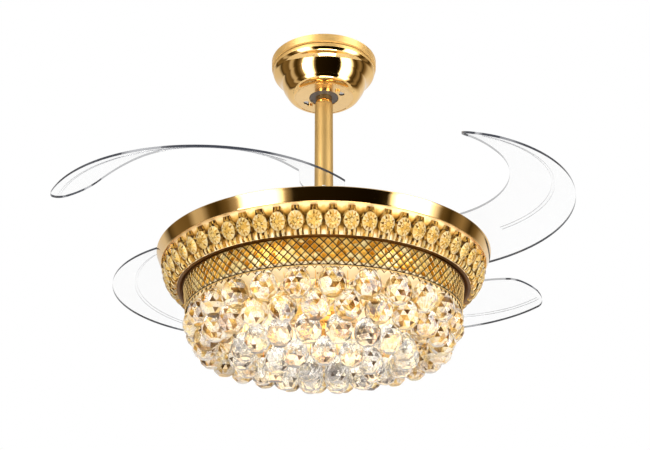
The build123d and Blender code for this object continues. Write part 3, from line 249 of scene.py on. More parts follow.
# two colours, two roughness values, metallic, grain stretch, grain size and bumpiness of each plain surface
FINISHES = {
    "polished_gold": (((0.92, 0.59, 0.22), (0.97, 0.64, 0.27)), (0.03, 0.07), 1.0, EVEN, 40.0, 0.01),
    "satin_gold": (((0.86, 0.54, 0.19), (0.94, 0.61, 0.25)), (0.12, 0.16), 1.0, EVEN, 60.0, 0.01),
    "matt_gold": (((0.43, 0.27, 0.085), (0.48, 0.31, 0.105)), (0.50, 0.60), 0.7, UPRIGHT, 500.0, 0.05),
    "brushed_disc": (((0.90, 0.60, 0.26), (0.95, 0.66, 0.32)), (0.14, 0.22), 0.9, EVEN, 90.0, 0.01),
    "brown_gold": (((0.09, 0.035, 0.005), (0.20, 0.09, 0.018)), (0.40, 0.50), 1.0, EVEN, 90.0, 0.03),
    "zinc_steel": (((0.60, 0.60, 0.61), (0.68, 0.68, 0.69)), (0.28, 0.42), 1.0, EVEN, 120.0, 0.05),
    "shaft_steel": (((0.52, 0.52, 0.54), (0.60, 0.60, 0.62)), (0.16, 0.28), 1.0, LEVEL, 150.0, 0.04),
    "cast_aluminium": (((0.62, 0.62, 0.63), (0.72, 0.72, 0.73)), (0.42, 0.58), 1.0, EVEN, 420.0, 0.30),
    "lamination_steel": (((0.34, 0.34, 0.35), (0.44, 0.44, 0.45)), (0.35, 0.50), 1.0, LEVEL, 60.0, 0.30),
    "copper_wire": (((0.62, 0.24, 0.10), (0.76, 0.34, 0.16)), (0.22, 0.36), 1.0, LEVEL, 90.0, 0.35),
    # near-black gold, painted shade: inside the canopy, on the lattice's shaded sides and on the lower rim's
    # upper half
    "dark_gold": (((0.015, 0.006, 0.001), (0.04, 0.016, 0.002)), (0.45, 0.55), 1.0, EVEN, 90.0, 0.03),
    "band_gold": (((0.70, 0.43, 0.13), (0.76, 0.48, 0.17)), (0.38, 0.46), 0.7, EVEN, 90.0, 0.01),
    # brighter gold, painted highlight: on the lattice's lit slopes and the lower rim's lower half
    "light_gold": (((0.76, 0.50, 0.17), (0.90, 0.64, 0.27)), (0.35, 0.45), 0.5, EVEN, 90.0, 0.03),
    "black_dots": (((0.02, 0.015, 0.01), (0.05, 0.03, 0.02)), (0.30, 0.40), 0.0, EVEN, 200.0, 0.02),
    "magnet": (((0.12, 0.12, 0.13), (0.18, 0.18, 0.19)), (0.45, 0.60), 1.0, EVEN, 200.0, 0.02),
    "spring_steel": (((0.42, 0.44, 0.48), (0.52, 0.54, 0.58)), (0.20, 0.30), 1.0, EVEN, 200.0, 0.02),
    "white_plastic": (((0.80, 0.80, 0.78), (0.86, 0.86, 0.84)), (0.40, 0.50), 0.0, EVEN, 300.0, 0.08),
    "white_board": (((0.84, 0.84, 0.82), (0.90, 0.90, 0.88)), (0.45, 0.55), 0.0, EVEN, 300.0, 0.08),
    "gear_nylon": (((0.80, 0.79, 0.73), (0.86, 0.85, 0.80)), (0.34, 0.44), 0.0, EVEN, 300.0, 0.08),
    # the hanger ball's grey is darkened as painted shade where it sits in the canopy
    "grey_ball": (((0.07, 0.065, 0.06), (0.11, 0.10, 0.10)), (0.42, 0.55), 0.0, EVEN, 300.0, 0.08),
}
MADE = {finish: surface(finish, *values) for finish, values in FINISHES.items()}
POLISHED_GOLD = MADE["polished_gold"]
MATT_GOLD = MADE["matt_gold"]
BRUSHED_DISC = MADE["brushed_disc"]
BROWN_GOLD = MADE["brown_gold"]
SHADE_PAINTED_GOLD = MADE["dark_gold"]
HIGHLIGHT_PAINTED_GOLD = MADE["light_gold"]
BAND_GOLD = MADE["band_gold"]
BLACK_DOTS = MADE["black_dots"]
# tints of the facets, and of the light that they throw back; the gold, grey and near-black facets are painted
# reflections and painted shade
CLEAR = (1.0, 1.0, 1.0)
CREAM = (1.0, 0.84, 0.48)
HONEY = (0.96, 0.74, 0.32)
STRAW = (1.0, 0.90, 0.58)
AMBER = (0.92, 0.60, 0.15)
BRONZE = (0.66, 0.36, 0.07)
UMBER = (0.22, 0.10, 0.015)
SHADE_BLACK = (0.04, 0.02, 0.01)
REFLECTION_GREY = (0.42, 0.42, 0.44)
# the upper balls' straw, amber, umber and near-black facets are painted gold reflections and painted shade
GOLD_GLINT_CRYSTAL = crystal(
    "gold_glint_crystal",
    stops=((0.0, CLEAR), (0.42, CLEAR), (0.55, STRAW), (0.73, AMBER), (0.89, UMBER), (1.0, SHADE_BLACK)),
    clearness=0.80,
    glow=0.035,
    glint=CLEAR,
)
# the lower balls' grey and near-black facets are painted reflections and painted shade
CLEAR_CRYSTAL = crystal(
    "clear_crystal",
    stops=((0.0, CLEAR), (0.52, CLEAR), (0.64, STRAW), (0.76, CLEAR), (0.88, REFLECTION_GREY), (0.98, SHADE_BLACK)),
    clearness=0.90,
    glow=0.03,
    glint=CLEAR,
)
# the gems' light and dark facets are painted glints and painted shade
GEM_CRYSTAL = crystal(
    "gem_crystal",
    stops=((0.0, CREAM), (0.20, HONEY), (0.48, AMBER), (0.70, BRONZE), (0.88, UMBER), (1.0, SHADE_BLACK)),
    clearness=0.60,
    glow=0.0,
    glint=AMBER,
)
# the liner's painted reflection patches and painted glow
LINER_GOLD = patched_gold(
    "liner_gold",
    patch_size=9.0,
    glow=0.24,
    stops=(
        (0.1, (0.55, 0.19, 0.01)),
        (0.4, (0.98, 0.46, 0.05)),
        (0.7, (1.0, 0.66, 0.16)),
        (0.95, (1.0, 0.84, 0.42)),
    ),
)
# painted light and shade on the gem wall: pale at the foot as painted light, near black in the middle as
# painted shade between the crystals, gold again at the top
WALL_GOLD = banded_gold(
    "wall_gold",
    low=-400.4,
    high=-366.4,
    ripple=8.0,
    stops=(
        (0.08, (1.0, 0.84, 0.54)),
        (0.20, (0.60, 0.34, 0.08)),
        (0.32, (0.10, 0.04, 0.006)),
        (0.68, (0.05, 0.02, 0.003)),
        (0.80, (0.34, 0.16, 0.025)),
        (0.90, (0.66, 0.39, 0.10)),
        (1.0, (0.95, 0.70, 0.36)),
    ),
)
# the sheet's grey, which covers more at a glance, and the near-black and dark grey edges are painted
# reflection
CLEAR_SHEET = clear_acrylic("clear_acrylic", (0.03, 0.16), ((0.40, 0.43, 0.46), (0.50, 0.53, 0.56)))
DARK_EDGE = clear_acrylic("acrylic_edge", (0.96, 1.0), ((0.012, 0.014, 0.022), (0.03, 0.034, 0.045)))
FAINT_EDGE = clear_acrylic("acrylic_fine_edge", (0.55, 0.75), ((0.05, 0.055, 0.07), (0.10, 0.105, 0.12)))
MADE["frosted_plastic"] = lit_surface(
    "frosted_plastic",
    tints=((0.86, 0.80, 0.70), (0.95, 0.90, 0.80)),
    glow=(1.0, 0.60, 0.22),
    strength=1.3,
)
# the plate's glow is painted light from the lamp's LEDs
LIT_PLATE = lit_surface(
    "lit_plate",
    tints=((0.98, 0.82, 0.52), (1.0, 0.90, 0.68)),
    glow=(1.0, 0.80, 0.48),
    strength=0.30,
)
# materials of the CAD nodes that stay: by the node's name, and otherwise by its material slot
MADE["amber_gold"] = LINER_GOLD
MADE["crystal"] = GEM_CRYSTAL
MADE["clear_acrylic"] = CLEAR_SHEET
NODE_FINISH = {"gem_wall": WALL_GOLD, "chassis_plate": LIT_PLATE}
SMOOTH_ANGLE = 32.0
for name, node in nodes.items():
    node.data.materials.clear()
    node.data.materials.append(NODE_FINISH.get(name, MADE[slot_of[name]]))
    node.data.shade_smooth()
    node.data.set_sharp_from_angle(angle=math.radians(SMOOTH_ANGLE))


# Mesh helpers

# points that are nearer to each other than this are one point
SAME_POINT = 0.001
# sides of the round pieces
NUT_SIDES = 64
ROD_SIDES = 96
CUP_SIDES = 128
DOME_SIDES = 160
CANOPY_SIDES = 192
BODY_SIDES = 200
BAND_SIDES = 240
RING_SIDES = 256


def stands_for(piece, node):
    """Makes a piece ride with a CAD node's body and stand for that node."""
    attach(piece, body_of[node])
    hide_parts(node)


def trims(piece, node):
    """Makes a piece ride with a CAD node's body beside the piece that stands for it."""
    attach(piece, body_of[node])


def settle(mesh):
    """Joins the points that meet, drops those that no face uses and turns all faces outwards."""
    work = bmesh.new()
    work.from_mesh(mesh)
    bmesh.ops.delete(work, geom=[point for point in work.verts if not point.link_faces], context="VERTS")
    bmesh.ops.remove_doubles(work, verts=work.verts, dist=SAME_POINT * MM)
    bmesh.ops.recalc_face_normals(work, faces=work.faces)
    work.to_mesh(mesh)
    work.free()


def mesh_piece(name, points, faces, materials, slots=(), tints=(), smooth=SMOOTH_ANGLE):
    """Makes an object from points in millimetres, with a material number and a facet tint for each face."""
    mesh = bpy.data.meshes.new(name)
    mesh.from_pydata([Vector(point) * MM for point in points], [], faces)
    for made in materials:
        mesh.materials.append(made)
    if slots:
        mesh.polygons.foreach_set("material_index", slots)
    if tints:
        layer = mesh.attributes.new("facet", "FLOAT", "FACE")
        layer.data.foreach_set("value", tints)
    settle(mesh)
    if smooth:
        mesh.shade_smooth()
        mesh.set_sharp_from_angle(angle=math.radians(smooth))
    piece = bpy.data.objects.new(name, mesh)
    bpy.context.scene.collection.objects.link(piece)
    return piece


def turned(point, degrees):
    """Turns a point about the upright axis."""
    return Matrix.Rotation(math.radians(degrees), 3, "Z") @ Vector(point)


def circle_points(radius, count, height=0.0, start=0.0):
    """Gives points round the upright axis at a height."""
    step = 360.0 / count
    return [turned((radius, 0.0, height), start + step * k) for k in range(count)]


ARC_STEP = 1.2


def arc(start, middle, end, spacing):
    """Gives points along the circle through three points, without the first."""
    a, b, c = (complex(*point) for point in (start, middle, end))
    skew = (c - a) / (b - a)
    center = a + (b - a) * (skew - abs(skew) ** 2) / (skew - skew.conjugate())
    to_middle = cmath.phase((b - center) / (a - center)) % (2 * math.pi)
    to_end = cmath.phase((c - center) / (a - center)) % (2 * math.pi)
    if to_middle > to_end:
        to_end -= 2 * math.pi
    steps = max(4, round(abs(to_end * (a - center)) / spacing))
    places = [center + (a - center) * cmath.exp(1j * to_end * k / steps) for k in range(1, steps + 1)]
    return [(place.real, place.imag) for place in places]


def outline(start, *steps, spacing=ARC_STEP):
    """Gives a profile's points: a step is a point, or the two points an arc goes through and ends at."""
    points = [start]
    for step in steps:
        points += arc(points[-1], *step, spacing) if isinstance(step[0], tuple) else [step]
    return points


CORNER_STEPS = 3
# a corner's rounding reaches along a side at most as far as the side's length divided by this
CORNER_LIMIT = 2.2


def softened(profile, radius):
    """Rounds every corner of a closed profile by a small curve, as far as its sides allow."""
    made = []
    for k, corner in enumerate(profile):
        before, here, after = Vector(profile[k - 1]), Vector(corner), Vector(profile[(k + 1) % len(profile)])
        near = min(radius, (before - here).length / CORNER_LIMIT, (after - here).length / CORNER_LIMIT)
        first = here + (before - here).normalized() * near
        last = here + (after - here).normalized() * near
        for j in range(CORNER_STEPS + 1):
            t = j / CORNER_STEPS
            made.append(tuple(first * (1 - t) ** 2 + here * 2 * t * (1 - t) + last * t * t))
    return made


def spun(profile, sides):
    """Gives the points and faces of a closed profile of radius and height, spun round the upright axis."""
    points = [point for radius, height in profile for point in circle_points(radius, sides, height)]
    faces = []
    for j in range(len(profile)):
        other = (j + 1) % len(profile)
        for k in range(sides):
            n = (k + 1) % sides
            faces.append((j * sides + k, j * sides + n, other * sides + n, other * sides + k))
    return points, faces


def revolved(name, profile, materials, sides=BODY_SIDES, slot_at=None, smooth=SMOOTH_ANGLE):
    """Makes a piece by spinning a profile; slot_at gives the material of each side from its middle."""
    points, faces = spun(profile, sides)
    slots = []
    for j, corner in enumerate(profile):
        middle = (Vector(corner) + Vector(profile[(j + 1) % len(profile)])) / 2
        slots += [slot_at(*middle) if slot_at else 0] * sides
    return mesh_piece(name, points, faces, materials, slots, smooth=smooth)


def renumbered(faces, first):
    """Gives faces whose corner numbers count on from the number of points before them."""
    return [tuple(first + corner for corner in face) for face in faces]


class Shape:
    """Points, faces and facet tints of a small form that is copied to many places."""

    def __init__(self):
        self.points = []
        self.faces = []
        self.tints = []

    def add(self, points):
        """Adds points and gives their numbers."""
        first = len(self.points)
        self.points += [Vector(point) for point in points]
        return list(range(first, len(self.points)))

    def face(self, corners, tint=0.5):
        """Adds a face with its facet tint."""
        self.faces.append(tuple(corners))
        self.tints.append(tint)

    def bridge(self, low, high, tints=(0.5, 0.5)):
        """Joins two rings of points by pairs of triangles."""
        for k in range(len(low)):
            n = (k + 1) % len(low)
            self.face((low[k], low[n], high[k]), tints[0])
            self.face((low[n], high[n], high[k]), tints[1])


def copies(shape, placings, drift=0.0):
    """Copies a shape to each placing, and lets its tints drift at random."""
    points = []
    faces = []
    tints = []
    for placing in placings:
        faces += renumbered(shape.faces, len(points))
        points += [placing @ point for point in shape.points]
        tints += [min(1.0, max(0.0, tint + rng.uniform(-drift, drift))) for tint in shape.tints]
    return points, faces, tints


def around(count, start=0.0):
    """Gives turns about the upright axis, in even steps."""
    return [Matrix.Rotation(math.radians(start + 360.0 * k / count), 4, "Z") for k in range(count)]


def on_wall(foot_radius, foot_height, lean, tall):
    """Gives the placing of a sloping wall at +X: x goes across, y up the slope and z outwards."""
    up = Vector((lean, 0.0, tall)).normalized()
    across = Vector((0.0, 1.0, 0.0))
    out = across.cross(up)
    placing = Matrix((across, up, out)).transposed().to_4x4()
    placing.translation = (foot_radius, 0.0, foot_height)
    return placing


# Canopy: a bowl shaped shell, painted dark inside as shade, with a satin band and two keyholes in its brushed
# bottom

CANOPY_OUTSIDE = outline(
    (85.3, 0.0),
    (84.8, -12.0),
    (82.0, -13.5),
    ((82.8, -19.7), (79.5, -26.0)),
    ((73.2, -31.5), (68.5, -38.5)),
    ((65.9, -47.8), (60.5, -57.0)),
    ((55.7, -63.4), (48.2, -66.5)),
)
CANOPY_BOTTOM = [(47.4, -66.0), (46.4, -66.0), (45.6, -66.5), (24.4, -66.5), (23.5, -66.0), (23.5, -65.1)]
CANOPY_INSIDE = [
    (47.0, -65.1),
    (57.0, -59.0),
    (64.0, -47.0),
    (66.5, -38.5),
    (76.7, -25.0),
    (83.3, -11.0),
    (83.9, 0.0),
]
BAND_FOOT = -21.0
SHELL = 0.4
DISC_TOP = -65.9
DISC_RADIUS = 47.5
KEYHOLE_PITCH = 31.5
KEYHOLE_RADIUS = 4.6
KEYHOLE_SLOT = 5.0
KEYHOLE_START = -49.5
KEYHOLE_SWEEP = 24.5
KEYHOLE_STEPS = 12
KEYHOLE_END_SIDES = 24
CUT_LOW = -70.0
CUT_HIGH = -60.0
CANOPY_SMOOTH = 24.0
# the canopy's finishes and their numbers: the first is the inside's painted shade, and the sides of a cut
# hole take it too
CANOPY_FINISHES = (SHADE_PAINTED_GOLD, BAND_GOLD, BRUSHED_DISC, POLISHED_GOLD)
INSIDE_SLOT, BAND_SLOT, DISC_SLOT, BOWL_SLOT = range(4)


def inside_radius(height):
    """Gives the radius of the canopy's inside at a height."""
    for (low_radius, low), (high_radius, high) in zip(CANOPY_INSIDE, CANOPY_INSIDE[1:]):
        if low <= height <= high:
            return low_radius + (high_radius - low_radius) * (height - low) / (high - low)
    return 0.0


def canopy_slot(radius, height):
    """Gives the finish of the inside, which is painted shade, the top band, the bottom disc or the bowl
    between them.
    """
    if radius < inside_radius(height) + SHELL:
        return INSIDE_SLOT
    if height > BAND_FOOT:
        return BAND_SLOT
    return DISC_SLOT if height < DISC_TOP and radius < DISC_RADIUS else BOWL_SLOT


def cut_away(piece, plan):
    """Cuts an upright hole of a plan through the canopy's bottom."""
    count = len(plan)
    points = [(x, y, height) for height in (CUT_LOW, CUT_HIGH) for x, y in plan]
    faces = [tuple(range(count)), tuple(range(count, 2 * count))]
    faces += [(k, (k + 1) % count, count + (k + 1) % count, count + k) for k in range(count)]
    cutter = mesh_piece("cutter", points, faces, ())
    cut = piece.modifiers.new("cut", "BOOLEAN")
    cut.operation = "DIFFERENCE"
    cut.object = cutter
    evaluated = piece.evaluated_get(bpy.context.evaluated_depsgraph_get())
    piece.data = bpy.data.meshes.new_from_object(evaluated)
    piece.modifiers.clear()
    bpy.data.objects.remove(cutter)


def keyhole_plans():
    """Gives the plans of a keyhole's curved slot and of its round end."""
    angles = [KEYHOLE_START + KEYHOLE_SWEEP * k / KEYHOLE_STEPS for k in range(KEYHOLE_STEPS + 1)]
    outer = [turned((KEYHOLE_PITCH + KEYHOLE_SLOT / 2, 0.0, 0.0), angle) for angle in angles]
    inner = [turned((KEYHOLE_PITCH - KEYHOLE_SLOT / 2, 0.0, 0.0), angle) for angle in reversed(angles)]
    middle = turned((KEYHOLE_PITCH, 0.0, 0.0), angles[-1])
    end = [middle + point for point in circle_points(KEYHOLE_RADIUS, KEYHOLE_END_SIDES)]
    return outer + inner, end


def build_canopy():
    """Makes the canopy's shell and cuts two keyholes through its bottom."""
    profile = CANOPY_OUTSIDE + CANOPY_BOTTOM + CANOPY_INSIDE
    piece = revolved("canopy_shell", profile, CANOPY_FINISHES, CANOPY_SIDES, canopy_slot, CANOPY_SMOOTH)
    for plan in keyhole_plans():
        for half_turn in (0.0, 180.0):
            cut_away(piece, [turned(point, half_turn).xy for point in plan])
    piece.data.set_sharp_from_angle(angle=math.radians(CANOPY_SMOOTH))
    stands_for(piece, "canopy")


build_canopy()

# Rod, sleeve and the two covers above the lamp

ROD_RADIUS, ROD_FOOT, ROD_HEAD = reach("downrod")
SLEEVE_RADIUS, SLEEVE_FOOT, SLEEVE_HEAD = reach("rod_sleeve")
ROD_BORE = 11.4
SLEEVE_BORE = 13.45
EDGE = 0.5
ROD = [(ROD_RADIUS, ROD_HEAD), (ROD_RADIUS, ROD_FOOT), (ROD_BORE, ROD_FOOT), (ROD_BORE, ROD_HEAD)]
SLEEVE = [
    (SLEEVE_BORE, SLEEVE_HEAD),
    (SLEEVE_RADIUS, SLEEVE_HEAD),
    (SLEEVE_RADIUS, SLEEVE_FOOT),
    (SLEEVE_BORE, SLEEVE_FOOT),
]
ROD_COVER = outline(
    (17.0, -238.0),
    (14.9, -238.0),
    (14.9, -250.0),
    (27.4, -253.0),
    (27.4, -286.0),
    (43.0, -286.0),
    (43.0, -284.0),
    ((36.4, -261.6), (17.6, -239.5)),
)
GEAR_DOME = outline(
    (92.0, -325.2),
    (90.5, -325.2),
    (70.5, -305.7),
    (34.0, -295.7),
    (31.5, -295.7),
    (31.5, -325.0),
    (30.0, -325.0),
    (30.0, -294.4),
    (34.0, -294.2),
    ((72.0, -304.2), (92.0, -325.2)),
)
stands_for(revolved("rod_tube", softened(ROD, EDGE), (POLISHED_GOLD,), ROD_SIDES), "downrod")
stands_for(revolved("satin_sleeve", softened(SLEEVE, EDGE), (MATT_GOLD,), ROD_SIDES), "rod_sleeve")
stands_for(revolved("rod_cover", ROD_COVER, (POLISHED_GOLD,), CUP_SIDES), "coupler_cover")
stands_for(revolved("gear_dome", GEAR_DOME, (POLISHED_GOLD,), DOME_SIDES), "gear_cover")

# Clear blades: a dished sheet, part of a cone round the dish centre, with a rib under it and a boss

PIVOT_RADIUS = 140.0
PIVOT = Vector((PIVOT_RADIUS, 0.0))
BLADE_RADIUS = 230.0
DISH = Vector((PIVOT_RADIUS - 26.4, -158.0))
DISH_DROP = 37.74
SHEET = 3.0
RIB_CENTER = DISH + Vector((0.6, -20.8))
RIB_RADIUS = 196.6
RIB_WIDTH = 4.0
RIB_DEPTH = 1.0
RIB_START = 41.0
RIB_END = -66.0
RIB_STEPS = 72
# how far the rib reaches up into the sheet
RIB_SUNK = 0.2
BOSS_RADIUS = 18.0
BOSS_BORE = 6.3
BOSS_SIDES = 32
BOSS_TALL = 19.0
SEAT_DROP = 0.7
SCREW_HEAD = 2.0
BOSS_TOP = reach("blade_screws_1")[2] - SCREW_HEAD
PIVOT_TO_DISH = (PIVOT - DISH).length
DISH_RISE = DISH_DROP / (BLADE_RADIUS - PIVOT_TO_DISH)
APEX = BOSS_TOP + SEAT_DROP + DISH_RISE * PIVOT_TO_DISH
# the sheet's thickness straight down, as it slopes
SHEET_DEPTH = SHEET * math.hypot(DISH_RISE, 1.0)
BLADE_SPACING = 5.0
# points inside the sheet: shares of the blade radius and angles round the dish centre
GRID_SHARES = [0.66 + 0.055 * k for k in range(7)]
GRID_ANGLES = [-72.0 + 4.0 * k for k in range(31)]
# tells the triangulation to keep only what the rim encloses
INSIDE_RIM = 1
BLADE_FINISHES = (CLEAR_SHEET, DARK_EDGE, FAINT_EDGE)
SHEET_SLOT, DARK_SLOT, FAINT_SLOT = range(3)
BLADE_ANGLES = {"blade_1": -90.0, "blade_2": 180.0, "blade_3": 0.0, "blade_4": 90.0}


def dish_point(share, degrees):
    """Gives a plan point from a share of the blade radius and an angle round the dish centre."""
    across = turned((share * BLADE_RADIUS, 0.0, 0.0), degrees).xy
    return tuple(DISH + across)


def on_dish(point, drop=0.0):
    """Lifts a plan point to the sheet's upper face, or to a drop under it."""
    plan = Vector(point)
    return (plan.x, plan.y, APEX - DISH_RISE * (plan - DISH).length - drop)


BLADE_OUTSIDE = outline(
    dish_point(1.0, 54.0),
    (dish_point(1.0, -7.5), dish_point(1.0, -62.0)),
    (dish_point(0.972, -68.3), dish_point(0.90, -72.0)),
    (dish_point(0.80, -71.5), dish_point(0.72, -66.0)),
    spacing=BLADE_SPACING,
)
BLADE_INSIDE = outline(
    BLADE_OUTSIDE[-1],
    (dish_point(0.655, -52.0), dish_point(0.632, -36.8)),
    (dish_point(0.63, -0.8), dish_point(0.62, 51.2)),
    (PIVOT_RADIUS + 52.0, -34.0),
    (PIVOT_RADIUS, -34.0),
    ((PIVOT_RADIUS - 32.0, -6.0), (PIVOT_RADIUS, 28.0)),
    (PIVOT_RADIUS + 60.0, 28.0),
    spacing=BLADE_SPACING,
)[1:]


def outside_boss(corners):
    """Tells whether the middle of a triangle lies outside the boss."""
    middle = sum(corners, Vector((0.0, 0.0))) / len(corners)
    return (middle - PIVOT).length > BOSS_RADIUS


def blade_sheet():
    """Gives points, faces and material numbers of the sheet: its two faces and its edge all round."""
    rim = BLADE_OUTSIDE + BLADE_INSIDE
    inner = [dish_point(share, degrees) for share in GRID_SHARES for degrees in GRID_ANGLES]
    ring = [PIVOT + point.xy for point in circle_points(BOSS_RADIUS, BOSS_SIDES)]
    plan = [Vector(point) for point in rim + inner + ring]
    loop = len(rim) + len(inner)
    edges = [(loop + k, loop + (k + 1) % len(ring)) for k in range(len(ring))]
    rim_loop = [list(range(len(rim)))]
    plan, _, triangles, *_ = delaunay_2d_cdt(plan, edges, rim_loop, INSIDE_RIM, SAME_POINT)
    kept = [face for face in triangles if outside_boss([plan[k] for k in face])]
    points = [on_dish(point) for point in plan] + [on_dish(point, SHEET_DEPTH) for point in plan]
    count = len(plan)
    faces = [tuple(face) for face in kept] + [tuple(count + k for k in reversed(face)) for face in kept]
    slots = [SHEET_SLOT] * len(faces)
    for k, point in enumerate(rim):
        pair = (point, rim[(k + 1) % len(rim)])
        first = len(points)
        points += [on_dish(end, drop) for drop in (0.0, SHEET_DEPTH) for end in pair]
        faces.append((first, first + 1, first + 3, first + 2))
        # the outer edges take the near-black painted reflection, the inner edges the fainter one
        slots.append(DARK_SLOT if k < len(BLADE_OUTSIDE) or k == len(rim) - 1 else FAINT_SLOT)
    return points, faces, slots


def blade_rib():
    """Gives points, faces and material numbers of the rib under the sheet."""
    section = ((-0.5, 0.0), (-0.5, RIB_DEPTH), (0.5, RIB_DEPTH), (0.5, 0.0))
    # the rib's sides take the fainter painted reflection of an edge
    side_slots = (FAINT_SLOT, SHEET_SLOT, FAINT_SLOT, SHEET_SLOT)
    sides = len(section)
    points = []
    for k in range(RIB_STEPS + 1):
        degrees = RIB_START + (RIB_END - RIB_START) * k / RIB_STEPS
        for share, drop in section:
            across = turned((RIB_RADIUS + RIB_WIDTH * share, 0.0, 0.0), degrees).xy
            points.append(on_dish(RIB_CENTER + across, SHEET_DEPTH + drop - RIB_SUNK))
    faces = []
    for k in range(RIB_STEPS):
        for j in range(sides):
            near = sides * k + j
            far = sides * k + (j + 1) % sides
            faces.append((near, far, far + sides, near + sides))
    return points, faces, side_slots * RIB_STEPS


def blade_boss():
    """Gives points, faces and material numbers of the boss round the pivot."""
    low = BOSS_TOP - BOSS_TALL
    profile = ((BOSS_BORE, low), (BOSS_RADIUS, low), (BOSS_RADIUS, BOSS_TOP), (BOSS_BORE, BOSS_TOP))
    points, faces = spun(profile, BOSS_SIDES)
    return [PIVOT.to_3d() + point for point in points], faces, [FAINT_SLOT] * len(faces)


def build_blades():
    """Makes one blade from its sheet, rib and boss, and turns it to the four pivots."""
    points = []
    faces = []
    slots = []
    for more, more_faces, more_slots in (blade_sheet(), blade_rib(), blade_boss()):
        faces += renumbered(more_faces, len(points))
        points += more
        slots += more_slots
    for node, degrees in BLADE_ANGLES.items():
        placed = [turned(point, degrees) for point in points]
        piece = mesh_piece(f"clear_{node}", placed, faces, BLADE_FINISHES, slots)
        stands_for(piece, node)


build_blades()

# Lamp body: ring, pan, step ring and liner, then the cup and its nut

RING_RADIUS, RING_FOOT, RING_HEAD = reach("top_ring")
WALL_FOOT_RADIUS = 217.0
RING_LEAN = 8.0
RING_INSIDE = 247.9
RING_SMOOTH = 40.0
FINE_EDGE = 0.4
PAN_EDGE = 1.0
CUP_EDGE = 1.2
RING = [
    (RING_RADIUS - 6.0, RING_HEAD),
    (RING_RADIUS - 0.6, RING_HEAD),
    (RING_RADIUS, RING_HEAD - 1.2),
    (RING_RADIUS - 1.2, RING_HEAD - 4.2),
    (RING_RADIUS - RING_LEAN + 1.0, RING_FOOT + 2.0),
    (RING_RADIUS - RING_LEAN + 0.8, RING_FOOT + 0.6),
    (RING_RADIUS - RING_LEAN, RING_FOOT),
    (RING_RADIUS - RING_LEAN - 1.4, RING_FOOT + 0.6),
    (RING_INSIDE, RING_HEAD - 1.7),
    (RING_RADIUS - 6.0, RING_HEAD - 1.5),
]
PAN = [
    (8.6, -384.0),
    (100.0, -384.0),
    (110.0, -353.0),
    (246.8, -353.0),
    (246.8, -351.5),
    (108.5, -351.5),
    (98.5, -382.5),
    (8.6, -382.5),
]
STEP = [
    (217.2, -404.5),
    (217.2, -405.6),
    (213.4, -405.6),
    (208.9, -402.0),
    (203.5, -402.0),
    (203.5, -400.8),
    (210.0, -400.8),
    (214.6, -404.5),
]
LINER = [(203.4, -402.1), (199.0, -435.0), (198.0, -435.0), (202.4, -402.1)]
CUP = [
    (50.0, -436.2),
    (50.0, -450.2),
    (37.0, -450.2),
    (37.0, -464.2),
    (16.0, -464.2),
    (16.0, -480.2),
    (3.0, -480.2),
    (3.0, -479.0),
    (14.8, -479.0),
    (14.8, -463.0),
    (35.8, -463.0),
    (35.8, -449.0),
    (48.8, -449.0),
    (48.8, -436.2),
]
NUT = outline(
    (0.0, -489.2),
    (2.0, -489.1),
    ((6.3, -487.0), (8.0, -483.0)),
    (8.0, -480.4),
    (3.0, -480.2),
    (3.0, -435.0),
    (0.0, -435.0),
)
gold_ring = revolved("gold_ring", softened(RING, FINE_EDGE), (POLISHED_GOLD,), RING_SIDES, smooth=RING_SMOOTH)
stands_for(gold_ring, "top_ring")
stands_for(revolved("body_dish", softened(PAN, PAN_EDGE), (POLISHED_GOLD,)), "body_pan")
stands_for(revolved("step_band", softened(STEP, EDGE), (BROWN_GOLD,), BAND_SIDES), "step_ring")
stands_for(revolved("band_liner", LINER, (LINER_GOLD,)), "lattice_liner")
stands_for(revolved("stepped_cup", softened(CUP, CUP_EDGE), (POLISHED_GOLD,), CUP_SIDES), "center_cup")
stands_for(revolved("cup_nut", NUT, (POLISHED_GOLD,), NUT_SIDES), "center_stud")

# Lattice band: woven diamonds on a cone between two rims, with a row of dots over the lower one

_, LATTICE_FOOT, LATTICE_HEAD = reach("lattice_band")
LATTICE_FOOT_RADIUS = 203.0
LATTICE_HEAD_RADIUS = 208.3
LATTICE_LEAN = LATTICE_HEAD_RADIUS - LATTICE_FOOT_RADIUS
LATTICE_COLUMNS = 108
LATTICE_ROWS = 3
LOW_RIM = 2.0
HIGH_RIM = 2.6
STRUT = 2.0
STRUT_DEPTH = 1.4
STRUT_CROWN = 0.35
VALLEY = 0.7
LATTICE_SMOOTH = 20.0
LATTICE_GOLDS = (HIGHLIGHT_PAINTED_GOLD, SHADE_PAINTED_GOLD)
LIGHT, DARK = range(2)
# golds of a diamond's frame from its outside to its hole: one slope takes the painted highlight, the other
# faces the painted shade
FRAME_SLOTS = (DARK, DARK, LIGHT, DARK)
CORNERS = 4
RIM_PROUD = 0.7
# how much farther out the lower rim is at its top
RIM_FLARE = 1.6
DOT_COUNT = 180
DOT_RADIUS = 0.9
DOT_SIDES = 6


def diamond(wide, tall):
    """Makes one diamond of the lattice: a raised frame round its hole, in half width and half height."""
    made = Shape()
    hole = 1.0 - STRUT / math.hypot(wide, tall)
    crest = 1.0 - VALLEY * (1.0 - hole)
    rings = []
    for share, sunk in ((1.0, 1.0), (1.0, STRUT_CROWN), (crest, 0.0), (hole, STRUT_CROWN), (hole, 1.0)):
        x, y, z = wide * share, tall * share, -STRUT_DEPTH * sunk
        rings.append(made.add([(-x, 0.0, z), (0.0, -y, z), (x, 0.0, z), (0.0, y, z)]))
    for low, high in zip(rings, rings[1:]):
        for k in range(CORNERS):
            n = (k + 1) % CORNERS
            made.face((low[k], low[n], high[n], high[k]))
    return made


